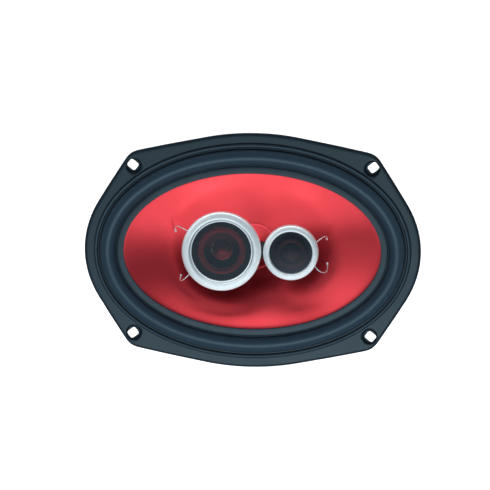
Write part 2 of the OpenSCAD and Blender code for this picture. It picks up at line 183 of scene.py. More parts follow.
class Graph:
    """The node tree of one material."""

    def __init__(self, name: str) -> None:
        """Makes an empty material called name."""
        self.material = bpy.data.materials.new(name)
        self.material.use_nodes = True
        self.tree = self.material.node_tree
        self.tree.nodes.clear()
        self.place = self.node("ShaderNodeTexCoord").outputs["Object"]

    def node(self, kind: str, settings: dict | None = None,
             inputs: dict | None = None) -> bpy.types.Node:
        """Adds a node, sets its settings, then feeds its sockets.

        Args:
            kind: The node's type.
            settings: Attribute names and values.
            inputs: Socket names or numbers, each with a constant, a Value or a socket.

        Returns:
            The new node.
        """
        made = self.tree.nodes.new(kind)
        for key, value in (settings or {}).items():
            setattr(made, key, value)
        for key, value in (inputs or {}).items():
            source = value.socket if isinstance(value, Value) else value
            if isinstance(source, bpy.types.NodeSocket):
                self.tree.links.new(source, made.inputs[key])
            else:
                made.inputs[key].default_value = source
        return made

    def noise(self, size: float, detail: float = 2.0, stretch: Triple = (1, 1, 1)) -> Value:
        """Soft noise from 0 to 1.

        Args:
            size: The size of its blobs in millimetres.
            detail: How many finer layers it has.
            stretch: Scale of the coordinates along each axis.

        Returns:
            The noise.
        """
        place = self.place
        if tuple(stretch) != (1, 1, 1):
            place = self.node("ShaderNodeMapping", None,
                              {"Vector": place, "Scale": stretch}).outputs[0]
        made = self.node("ShaderNodeTexNoise", None,
                         {"Vector": place, "Scale": 1 / (size * MM), "Detail": detail})
        return Value(self, made.outputs["Fac"])

    def axes(self) -> tuple[Value, Value, Value]:
        """The three coordinates in millimetres."""
        made = self.node("ShaderNodeSeparateXYZ", None, {0: self.place})
        return tuple(Value(self, made.outputs[i]) * 1000.0 for i in range(3))

    def radius(self, centre: tuple[float, float] = (0.0, 0.0)) -> Value:
        """Distance in millimetres from the vertical line through centre."""
        x, y, _ = self.axes()
        return ((x - centre[0]) ** 2.0 + (y - centre[1]) ** 2.0) ** 0.5

    def mix(self, share: Value, first: Colour | bpy.types.NodeSocket,
            second: Colour | bpy.types.NodeSocket) -> bpy.types.NodeSocket:
        """Mixes two colours.

        Args:
            share: 0 gives first and 1 gives second.
            first: A colour or a colour socket.
            second: A colour or a colour socket.

        Returns:
            The mixed colour's socket.
        """
        ends = [(*c, 1.0) if isinstance(c, tuple) else c for c in (first, second)]
        made = self.node("ShaderNodeMix", {"data_type": "RGBA"},
                         {"Factor": share, 6: ends[0], 7: ends[1]})
        return made.outputs[2]

    def bump(self, height: Value, depth: float, strength: float = 1.0) -> bpy.types.NodeSocket:
        """A normal tilted by a height from 0 to 1.

        Args:
            height: The height field.
            depth: The real depth of the full height in millimetres.
            strength: How much of it shows.

        Returns:
            The normal's socket.
        """
        made = self.node("ShaderNodeBump", None,
                         {"Height": height, "Distance": depth * MM, "Strength": strength})
        return made.outputs[0]

    def surface(self, **inputs: object) -> bpy.types.Material:
        """Finishes the material with a Principled shader.

        Args:
            **inputs: Its sockets by name, with _ for a space.

        Returns:
            The material.
        """
        named = {key.replace("_", " ").title().replace("Ior", "IOR"): value
                 for key, value in inputs.items()}
        for key, value in named.items():
            if isinstance(value, tuple) and len(value) == 3:
                named[key] = (*value, 1.0)
        shader = self.node("ShaderNodeBsdfPrincipled", None, named)
        self.node("ShaderNodeOutputMaterial", None, {"Surface": shader.outputs[0]})
        return self.material


# ---------------------------------------------------------------- finishes


@dataclass(frozen=True)
class Finish(ABC):
    """A finish that pieces share. Its material is made once."""

    name: str

    def material(self) -> bpy.types.Material:
        """The finish's material."""
        return bpy.data.materials.get(self.name) or self.shade(Graph(self.name))

    @abstractmethod
    def shade(self, g: Graph) -> bpy.types.Material:
        """Builds the material in g and returns it."""


@dataclass(frozen=True)
class PowderCoat(Finish):
    """Satin black powder coat with a fine pebble."""

    deep: Colour = (0.006, 0.016, 0.026)
    worn: Colour = (0.01, 0.026, 0.04)
    pebble: float = 0.45

    def shade(self, g: Graph) -> bpy.types.Material:
        """Builds the material in g and returns it."""
        cloud = g.noise(22.0, 3.0)
        grain = g.noise(self.pebble, 2.0)
        return g.surface(base_color=g.mix(cloud.between(0.3, 0.7), self.deep, self.worn),
                         roughness=grain * 0.16 + cloud * 0.1 + 0.32,
                         specular_ior_level=0.5, normal=g.bump(grain, 0.03, 0.5))


@dataclass(frozen=True)
class FoamRubber(Finish):
    """Rubber-skinned foam: a soft black with open pores and random dust, lighter higher up.

    Between the two heights of crest, in millimetres, it goes from painted shade low down to a
    painted sheen high up.
    """

    deep: Colour = (0.004, 0.008, 0.012)
    dust_and_sheen: Colour = (0.036, 0.065, 0.093)
    pore: float = 0.6
    depth: float = 0.07
    crest: tuple[float, float] = (4.2, 7.5)

    def shade(self, g: Graph) -> bpy.types.Material:
        """Builds the material in g and returns it."""
        pores = g.noise(self.pore, 3.0)
        cloud = g.noise(14.0, 2.0)
        # Painted light by height: painted shade in the low grooves, painted sheen on the crests.
        lit_by_height = g.axes()[2].between(*self.crest)
        mottled = pores * 0.4 + cloud * 0.2 + lit_by_height * 0.4
        return g.surface(base_color=g.mix(mottled.between(0.3, 0.7), self.deep, self.dust_and_sheen),
                         roughness=pores * 0.2 + 0.35, specular_ior_level=0.5,
                         normal=g.bump(pores, self.depth, 0.7))


@dataclass(frozen=True)
class RedFilm(Finish):
    """Metallic red film over a moulded cone, with fine flake under a clear coat."""

    bright: Colour = (0.8, 0.05, 0.068)
    dark: Colour = (0.74, 0.042, 0.056)
    roughness: float = 0.32
    coat: float = 0.35

    def shade(self, g: Graph) -> bpy.types.Material:
        """Builds the material in g and returns it."""
        flake = g.noise(0.35, 1.0)
        cloud = g.noise(16.0, 2.0)
        mottled = flake * 0.6 + cloud * 0.4
        return g.surface(base_color=g.mix(mottled.between(0.3, 0.7), self.bright, self.dark),
                         metallic=0.9, roughness=flake * 0.06 + self.roughness,
                         coat_weight=self.coat, coat_roughness=0.3,
                         normal=g.bump(flake, 0.004, 0.5))


@dataclass(frozen=True)
class SatinSilver(Finish):
    """Silver paint on plastic: pale, faintly blue and finely pebbled."""

    pale: Colour = (0.86, 0.92, 0.94)
    shade_colour: Colour = (0.76, 0.84, 0.87)

    def shade(self, g: Graph) -> bpy.types.Material:
        """Builds the material in g and returns it."""
        flake = g.noise(0.25, 2.0)
        cloud = g.noise(5.0, 2.0)
        mottled = flake * 0.5 + cloud * 0.5
        return g.surface(base_color=g.mix(mottled.between(0.35, 0.65), self.pale, self.shade_colour),
                         metallic=0.55, roughness=flake * 0.14 + 0.34,
                         normal=g.bump(flake, 0.01, 0.5))


@dataclass(frozen=True)
class BlackEnamel(Finish):
    """Thin black enamel on perforated steel."""

    colour: Colour = (0.006, 0.014, 0.02)
    glint: Colour = (0.018, 0.04, 0.058)

    def shade(self, g: Graph) -> bpy.types.Material:
        """Builds the material in g and returns it."""
        grain = g.noise(0.3, 2.0)
        return g.surface(base_color=g.mix(grain.between(0.4, 0.7), self.colour, self.glint),
                         metallic=0.4, roughness=grain * 0.2 + 0.32,
                         normal=g.bump(grain, 0.01, 0.5))


@dataclass(frozen=True)
class MouldedPlastic(Finish):
    """Moulded black plastic with a spark-eroded grain."""

    colour: Colour = (0.011, 0.013, 0.016)
    rubbed: Colour = (0.022, 0.026, 0.03)

    def shade(self, g: Graph) -> bpy.types.Material:
        """Builds the material in g and returns it."""
        grain = g.noise(0.35, 3.0)
        cloud = g.noise(8.0, 2.0)
        return g.surface(base_color=g.mix(cloud.between(0.4, 0.7), self.colour, self.rubbed),
                         roughness=grain * 0.2 + 0.4, normal=g.bump(grain, 0.03, 0.6))


@dataclass(frozen=True)
class TurnedSteel(Finish):
    """Plated steel faced on a lathe: fine rings round the axis and a faint tint."""

    pale: Colour = (0.56, 0.56, 0.55)
    tint: Colour = (0.42, 0.44, 0.46)
    pitch: float = 0.35

    def shade(self, g: Graph) -> bpy.types.Material:
        """Builds the material in g and returns it."""
        rings = (g.radius() * (FULL_TURN / self.pitch)).sine() * 0.5 + 0.5
        cloud = g.noise(11.0, 4.0)
        scuffs = g.noise(1.6, 4.0)
        return g.surface(base_color=g.mix(cloud.between(0.35, 0.65), self.pale, self.tint),
                         metallic=0.95, roughness=scuffs * 0.25 + cloud * 0.1 + 0.2,
                         normal=g.bump(rings, 0.008, 0.35))


@dataclass(frozen=True)
class Ferrite(Finish):
    """Fired ferrite, ground on its faces and pitted."""

    colour: Colour = (0.03, 0.032, 0.035)
    ground: Colour = (0.075, 0.078, 0.082)

    def shade(self, g: Graph) -> bpy.types.Material:
        """Builds the material in g and returns it."""
        pits = g.noise(0.5, 4.0)
        cloud = g.noise(7.0, 4.0)
        return g.surface(base_color=g.mix(cloud.between(0.35, 0.7), self.colour, self.ground),
                         roughness=pits * 0.3 + 0.42, normal=g.bump(pits, 0.05, 0.5))


@dataclass(frozen=True)
class WovenCloth(Finish):
    """Cotton cloth stiffened with resin and woven square.

    Where dyed_round names a CAD node, the cloth has its colour as far as dyed_to millimetres
    from that node's middle, and the undyed colour past it.
    """

    thread: Colour = (0.56, 0.36, 0.13)
    gap: Colour = (0.25, 0.14, 0.04)
    pitch: float = 0.7
    dyed_round: str = ""
    dyed_to: float = 0.0
    fade: float = 0.4
    undyed: Colour = (0.006, 0.008, 0.01)

    def shade(self, g: Graph) -> bpy.types.Material:
        """Builds the material in g and returns it."""
        x, y, _ = g.axes()
        weave = (x * (math.pi / self.pitch)).sine() * (y * (math.pi / self.pitch)).sine()
        over = weave * 0.5 + 0.5
        fuzz = g.noise(0.4, 3.0)
        colour = g.mix((over * 0.7 + fuzz * 0.3).between(0.25, 0.75), self.gap, self.thread)
        if self.dyed_round:
            away = g.radius(Span.of(self.dyed_round).centre)
            colour = g.mix(away.between(self.dyed_to, self.dyed_to + self.fade), colour,
                           self.undyed)
        return g.surface(base_color=colour,
                         roughness=fuzz * 0.2 + 0.62, normal=g.bump(over, 0.12, 0.8))


@dataclass(frozen=True)
class FibreBoard(Finish):
    """Pressed brown board with fibres along its length."""

    colour: Colour = (0.17, 0.085, 0.035)
    fibre: Colour = (0.3, 0.17, 0.08)

    def shade(self, g: Graph) -> bpy.types.Material:
        """Builds the material in g and returns it."""
        fibres = g.noise(0.8, 4.0, (0.15, 1.0, 1.0))
        return g.surface(base_color=g.mix(fibres.between(0.4, 0.65), self.colour, self.fibre),
                         roughness=fibres * 0.2 + 0.65, normal=g.bump(fibres, 0.04, 0.6))


@dataclass(frozen=True)
class WoundWire(Finish):
    """Enamelled wire wound in turns one above the other, with painted shade in the grooves between
    the turns.
    """

    colour: Colour = (0.62, 0.24, 0.09)
    groove_shade: Colour = (0.2, 0.06, 0.02)
    pitch: float = 0.3

    def shade(self, g: Graph) -> bpy.types.Material:
        """Builds the material in g and returns it."""
        _, _, z = g.axes()
        turns = (z * (FULL_TURN / self.pitch)).sine() * 0.5 + 0.5
        # The darker colour between the turns is painted shade.
        return g.surface(base_color=g.mix(turns.between(0.1, 0.6), self.groove_shade, self.colour),
                         metallic=0.85, roughness=turns * 0.1 + 0.24, normal=g.bump(turns, 0.08))


@dataclass(frozen=True)
class StampedMetal(Finish):
    """Plated or bare sheet metal with fine rubbing marks."""

    bright: Colour = (0.62, 0.63, 0.64)
    dull: Colour = (0.48, 0.49, 0.5)
    roughness: float = 0.22

    def shade(self, g: Graph) -> bpy.types.Material:
        """Builds the material in g and returns it."""
        marks = g.noise(0.9, 5.0, (1.0, 0.3, 1.0))
        return g.surface(base_color=g.mix(marks.between(0.35, 0.7), self.bright, self.dull),
                         metallic=0.95, roughness=marks * 0.22 + self.roughness,
                         normal=g.bump(marks, 0.01, 0.5))


@dataclass(frozen=True)
class ShrinkSleeve(Finish):
    """Glossy shrink sleeve with a soft wrinkle."""

    colour: Colour = (0.012, 0.022, 0.06)
    light: Colour = (0.02, 0.035, 0.09)

    def shade(self, g: Graph) -> bpy.types.Material:
        """Builds the material in g and returns it."""
        wrinkle = g.noise(2.0, 2.0)
        return g.surface(base_color=g.mix(wrinkle.between(0.3, 0.7), self.colour, self.light),
                         roughness=wrinkle * 0.1 + 0.16, normal=g.bump(wrinkle, 0.05, 0.5))


@dataclass(frozen=True)
class ClearFilm(Finish):
    """Amber heat-proof film of a voice coil former."""

    colour: Colour = (0.52, 0.27, 0.06)
    streak: Colour = (0.36, 0.16, 0.03)

    def shade(self, g: Graph) -> bpy.types.Material:
        """Builds the material in g and returns it."""
        streaks = g.noise(1.2, 3.0, (1.0, 1.0, 0.2))
        return g.surface(base_color=g.mix(streaks.between(0.35, 0.65), self.colour, self.streak),
                         roughness=streaks * 0.12 + 0.22, normal=g.bump(streaks, 0.02, 0.4))


@dataclass(frozen=True)
class PaperSweep(Finish):
    """Matt pale paper that glows a little, for the floor."""

    colour: Colour = (0.93, 0.93, 0.93)
    mark: Colour = (0.9, 0.9, 0.9)
    glow: float = 0.8

    def shade(self, g: Graph) -> bpy.types.Material:
        """Builds the material in g and returns it."""
        cloud = g.noise(300.0, 2.0)
        return g.surface(base_color=g.mix(cloud, self.colour, self.mark),
                         roughness=0.85, specular_ior_level=0.2,
                         emission_color=self.colour, emission_strength=self.glow)


STEEL_BLACK = PowderCoat("black_powder_coat")
# Both foams carry painted shade low down and a painted sheen high up.
SURROUND_RUBBER = FoamRubber("surround_foam_rubber")
GASKET_RUBBER = FoamRubber("gasket_rubber", deep=(0.005, 0.01, 0.016),
                           dust_and_sheen=(0.026, 0.044, 0.062), pore=0.5, depth=0.04)
CONE_RED = RedFilm("red_cone_film")
# Darker copies of the red film for the small speakers: partly their own darker red, partly painted
# shade for the shadow that their housings don't cast on them. The cap's copy is less dark than the
# diaphragm's.
DIAPHRAGM_RED_AND_SHADE = RedFilm("red_diaphragm_film", bright=(0.1, 0.005, 0.008),
                        dark=(0.05, 0.003, 0.006), roughness=0.3)
CAP_RED_AND_SHADE = RedFilm("red_cap_film", bright=(0.42, 0.02, 0.03), dark=(0.3, 0.014, 0.022),
                  roughness=0.3)
SILVER = SatinSilver("satin_silver")
MESH_BLACK = BlackEnamel("black_enamel_mesh")
PLASTIC_BLACK = MouldedPlastic("black_moulded_plastic")
ZINC_TURNED = TurnedSteel("zinc_turned_steel")
MOTOR_STEEL = TurnedSteel("motor_steel", pale=(0.5, 0.5, 0.5), tint=(0.38, 0.38, 0.4))
NICKEL = StampedMetal("nickel_plate", bright=(0.62, 0.6, 0.57), dull=(0.5, 0.48, 0.46))
FERRITE = Ferrite("ferrite")
SPIDER_CLOTH = WovenCloth("resin_cloth")
ROLL_CLOTH = WovenCloth("red_roll_cloth", thread=(0.8, 0.06, 0.08), gap=(0.4, 0.025, 0.035),
                        pitch=0.4, dyed_round="mid_surround", dyed_to=16.6)
BOARD = FibreBoard("fibre_board")
COPPER_WIRE = WoundWire("copper_winding")
BRAID = StampedMetal("copper_braid", bright=(0.68, 0.38, 0.2), dull=(0.45, 0.22, 0.1))
TINNED = StampedMetal("tinned_braid", bright=(0.86, 0.9, 0.92), dull=(0.68, 0.72, 0.75))
BRASS = StampedMetal("stamped_brass", bright=(0.75, 0.52, 0.2), dull=(0.55, 0.36, 0.13))
TIN = StampedMetal("tin_plate", bright=(0.68, 0.69, 0.7), dull=(0.5, 0.51, 0.53))
FASTENER = StampedMetal("plated_fastener", bright=(0.64, 0.65, 0.66), dull=(0.46, 0.47, 0.49))
SLEEVE = ShrinkSleeve("blue_sleeve")
FORMER = ClearFilm("amber_former")
PAPER = PaperSweep("pale_floor")

SLOT_FINISHES: dict[str, Finish] = {
    "black_steel": STEEL_BLACK, "gasket_foam": GASKET_RUBBER, "surround_rubber": SURROUND_RUBBER,
    "spider_cloth": SPIDER_CLOTH, "zinc_plate": ZINC_TURNED, "ferrite": FERRITE,
    "fastener_steel": FASTENER, "black_plastic": PLASTIC_BLACK, "silver_trim": SILVER,
    "black_mesh": MESH_BLACK, "motor_steel": MOTOR_STEEL, "neodymium": NICKEL,
    "midrange_cloth": ROLL_CLOTH, "capacitor_sleeve": SLEEVE, "fibre_board": BOARD,
    "brass_tab": BRASS, "tinned_tab": TIN, "tinned_wire": TINNED, "copper_braid": BRAID,
    "red_cone": CONE_RED, "former_film": FORMER, "copper_wire": COPPER_WIRE,
    "red_diaphragm": DIAPHRAGM_RED_AND_SHADE}


# ---------------------------------------------------------------- shapes


@dataclass(frozen=True)
class Span:
    """The box of one CAD node, in millimetres."""

    low: Vector
    high: Vector

    @classmethod
    def of(cls, node: str) -> "Span":
        """The box of the CAD node of that name."""
        low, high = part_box(node)
        return cls(low / MM, high / MM)

    @property
    def centre(self) -> tuple[float, float]:
        """The middle of the box, seen from the front."""
        middle = (self.low + self.high) / 2
        return middle.x, middle.y

    @property
    def radius(self) -> float:
        """Half the box's length along X."""
        return (self.high.x - self.low.x) / 2


@dataclass(frozen=True)
class Oval:
    """The ellipse of the visible cone, and the curves that run beside it."""

    half_length: float
    half_width: float

    def point(self, turn: float, out: float) -> tuple[float, float]:
        """A point on the curve that runs `out` outside the ellipse.

        Args:
            turn: The ellipse's own angle, in radians.
            out: How far outside it the curve runs, in millimetres.

        Returns:
            The point's X and Y.
        """
        a, b, c, s = self.half_length, self.half_width, math.cos(turn), math.sin(turn)
        n = math.hypot(b * c, a * s)
        return (a + out * b / n) * c, (b + out * a / n) * s

    def at(self, out: float, z: float) -> Station:
        """The station that runs `out` outside the ellipse at height z."""
        return lambda turn: Vector((*self.point(turn, out), z))


def circle(r: float, z: float, centre: tuple[float, float] = (0.0, 0.0)) -> Station:
    """A round station.

    Args:
        r: Its radius in millimetres.
        z: Its height.
        centre: Its centre.

    Returns:
        The station.
    """
    return lambda turn: Vector((centre[0] + r * math.cos(turn), centre[1] + r * math.sin(turn), z))


def between(first: Station, second: Station, share: float) -> Station:
    """The station that lies that share of the way from first to second."""
    return lambda turn: first(turn).lerp(second(turn), share)


def lifted(station: Station, rise: float) -> Station:
    """The same station, `rise` millimetres higher."""
    return lambda turn: station(turn) + Vector((0, 0, rise))


class Shape:
    """A bmesh on its way to being one piece."""

    def __init__(self) -> None:
        """Starts with nothing."""
        self.bm = bmesh.new()
        self.turn = self.bm.verts.layers.float.new("turn")

    def spin(self, outline: Outline, centre: tuple[float, float] = (0.0, 0.0),
             steps: int = 128) -> "Shape":
        """Turns an outline of (radius, height) points round the vertical line through centre.

        An outline that starts and ends on that line is left open there, and closes itself.

        Args:
            outline: The outline's points.
            centre: Where the line stands.
            steps: How many steps the full turn has.

        Returns:
            This shape.
        """
        x, y = centre
        verts = [self.bm.verts.new(Vector((x + r, y, z)) * MM) for r, z in outline]
        ends_on_axis = outline[0][0] == 0 and outline[-1][0] == 0
        following = verts[1:] if ends_on_axis else verts[1:] + verts[:1]
        edges = [self.bm.edges.new(pair) for pair in zip(verts, following)]
        bmesh.ops.spin(self.bm, geom=verts + edges, cent=(x * MM, y * MM, 0), axis=(0, 0, 1),
                       dvec=(0, 0, 0), angle=FULL_TURN, steps=steps, use_merge=True,
                       use_normal_flip=False, use_duplicate=False)
        return self.weld()

    def spin_more(self, outline: Outline, centre: tuple[float, float]) -> "Shape":
        """Adds another spun ring, whose points don't merge with what is there."""
        other = Shape().spin(outline, centre)
        extra = bpy.data.meshes.new("extra")
        other.bm.to_mesh(extra)
        other.bm.free()
        self.bm.from_mesh(extra)
        bpy.data.meshes.remove(extra)
        return self

    def band(self, stations: Sequence[Station], count: int, closed: bool = True,
             capped: bool = False) -> list[list[bmesh.types.BMFace]]:
        """Lays a strip of faces through closed stations, one after the other.

        Args:
            stations: Where each loop of the strip lies.
            count: How many points each loop has.
            closed: Whether the last loop joins the first.
            capped: Whether both ends are filled.

        Returns:
            The faces of each row between two stations.
        """
        ring = bmesh.ops.create_circle(self.bm, segments=count, radius=1.0)["verts"]
        for vert in ring:
            vert[self.turn] = math.atan2(vert.co.y, vert.co.x)
        self._place(ring, stations[0])
        edges = list({edge for vert in ring for edge in vert.link_edges})
        first, rows = list(edges), []
        for station in [*stations[1:], *([stations[0]] if closed else [])]:
            made = bmesh.ops.extrude_edge_only(self.bm, edges=edges)["geom"]
            verts = {g for g in made if isinstance(g, bmesh.types.BMVert)}
            edges = [g for g in made
                     if isinstance(g, bmesh.types.BMEdge) and set(g.verts) <= verts]
            rows.append([g for g in made if isinstance(g, bmesh.types.BMFace)])
            self._place(verts, station)
        if capped:
            for loop in (first, edges):
                bmesh.ops.contextual_create(self.bm, geom=loop)
        if closed:
            self.weld()
        return rows

    def _place(self, verts: Iterable[bmesh.types.BMVert], station: Station) -> None:
        """Moves each point to its own angle's place on station."""
        for vert in verts:
            vert.co = station(vert[self.turn]) * MM

    def block(self, low: Sequence[float], high: Sequence[float]) -> "Shape":
        """Adds a box between two corners, in millimetres."""
        low, high = Vector(low), Vector(high)
        size = Matrix.Diagonal(high - low).to_4x4()
        place = Matrix.Scale(MM, 4) @ Matrix.Translation((low + high) / 2) @ size
        bmesh.ops.create_cube(self.bm, size=1.0, matrix=place)
        return self

    def weld(self) -> "Shape":
        """Merges points that lie on each other and turns the faces outwards."""
        bmesh.ops.remove_doubles(self.bm, verts=self.bm.verts, dist=1e-7)
        bmesh.ops.recalc_face_normals(self.bm, faces=self.bm.faces)
        return self

    def soften(self, width: float, segments: int = 2, angle: float = 25.0) -> "Shape":
        """Rounds every edge sharper than angle.

        Args:
            width: The width of the rounding in millimetres.
            segments: How many faces each rounding has.
            angle: The least angle between the faces, in degrees.

        Returns:
            This shape.
        """
        sharp = [e for e in self.bm.edges
                 if len(e.link_faces) == 2 and e.calc_face_angle() > math.radians(angle)]
        bmesh.ops.bevel(self.bm, geom=sharp, offset=width * MM, offset_type="OFFSET",
                        segments=segments, profile=0.5, affect="EDGES", material=-1,
                        clamp_overlap=True)
        return self

    def mesh(self, name: str, sharp: float = 40.0) -> bpy.types.Object:
        """Makes an object of the shape.

        Args:
            name: The object's name.
            sharp: Edges sharper than this, in degrees, stay crisp.

        Returns:
            The object, linked to the scene.
        """
        data = bpy.data.meshes.new(name)
        self.bm.to_mesh(data)
        self.bm.free()
        data.shade_smooth()
        data.set_sharp_from_angle(angle=math.radians(sharp))
        made = bpy.data.objects.new(name, data)
        bpy.context.scene.collection.objects.link(made)
        return made


def settle(made: bpy.types.Object, sharp: float = 40.0) -> bpy.types.Object:
    """Applies an object's modifiers.

    Args:
        made: The object.
        sharp: Edges sharper than this, in degrees, stay crisp.

    Returns:
        The same object with its final mesh.
    """
    graph = bpy.context.evaluated_depsgraph_get()
    final = bpy.data.meshes.new_from_object(made.evaluated_get(graph))
    made.modifiers.clear()
    made.data = final
    final.shade_smooth()
    final.set_sharp_from_angle(angle=math.radians(sharp))
    return made


class Join(Enum):
    """How a solid meets another one."""

    ADD = "UNION"
    CUT = "DIFFERENCE"


def combine(made: bpy.types.Object, how: Join, solid: Shape) -> None:
    """Adds a solid to an object or cuts it out of it.

    Args:
        made: The object, which keeps the result.
        how: Whether the solid is added or cut out.
        solid: The solid, which is used up.
    """
    tool = solid.mesh("tool")
    step = made.modifiers.new("join", "BOOLEAN")
    step.operation, step.solver, step.object = how.value, "EXACT", tool
    settle(made)
    bpy.data.objects.remove(tool)


class Assembly(ABC):
    """A group of pieces that is built together."""

    @abstractmethod
    def build(self) -> None:
        """Builds every piece of the group."""

    @staticmethod
    def keep(made: bpy.types.Object | Shape, name: str, body: Body, finish: Finish,
             slot: str, replaces: Sequence[str] = (), sharp: float = 40.0) -> bpy.types.Object:
        """Dresses a piece, hangs it on its body and reports it.

        Args:
            made: The piece, as a shape or an object.
            name: The piece's name.
            body: The body that it rides on.
            finish: Its finish.
            slot: The record's material slot. Not used.
            replaces: The CAD nodes that it stands for.
            sharp: Edges sharper than this, in degrees, stay crisp.

        Returns:
            The piece.
        """
        piece = made.mesh(name, sharp) if isinstance(made, Shape) else made
        piece.name = name
        piece.data.materials.clear()
        piece.data.materials.append(finish.material())
        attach(piece, body.value)
        if replaces:
            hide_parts(*replaces)
        LOG.info("%s: %d faces on %s", name, len(piece.data.polygons), body.value)
        return piece

    @staticmethod
    def flex(piece: bpy.types.Object, moving: Body, share: Callable[[Vector], float]) -> None:
        """Takes a soft piece off its body into world space and works out each point's share of a
        moving body's motion, which nothing uses.

        Args:
            piece: The piece, which rides on nothing else.
            moving: The moving body. Not used.
            share: How far a point, in millimetres, follows the moving body.
        """
        piece.parent = None
        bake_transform(piece)
        weights = [share(vert.co / MM) for vert in piece.data.vertices]


# ---------------------------------------------------------------- the speaker's pieces

RIM = 5.0  # how far the cone runs on under the surround's lip
CONE = Span.of("cone")
OVAL = Oval(CONE.high.x - RIM, CONE.high.y - RIM)
AROUND = 180  # points round an oval piece


def sheet(shape: Shape, name: str, thickness: float, levels: int = 1,
          sharp: float = 50.0) -> bpy.types.Object:
    """Turns an open skin into sheet of a real thickness, which grows away from its front.

    Args:
        shape: The skin, whose front is the side that mostly faces up.
        name: The object's name.
        thickness: The sheet's thickness in millimetres.
        levels: How often it is subdivided.
        sharp: Edges sharper than this, in degrees, stay crisp.

    Returns:
        The finished sheet.
    """
    faces = shape.bm.faces
    bmesh.ops.recalc_face_normals(shape.bm, faces=faces)
    shape.bm.normal_update()
    if sum(face.normal.z * face.calc_area() for face in faces) < 0:
        bmesh.ops.reverse_faces(shape.bm, faces=faces[:])
    made = shape.mesh(name)
    wall = made.modifiers.new("wall", "SOLIDIFY")
    wall.thickness, wall.offset, wall.use_even_offset = thickness * MM, -1.0, True
    if levels:
        smooth = made.modifiers.new("smooth", "SUBSURF")
        smooth.levels = smooth.render_levels = levels
    return settle(made, sharp)


def smooth_step(value: float, low: float, high: float) -> float:
    """Rises smoothly from 0 at low to 1 at high."""
    share = min(max((value - low) / (high - low), 0.0), 1.0)
    return share * share * (3 - 2 * share)


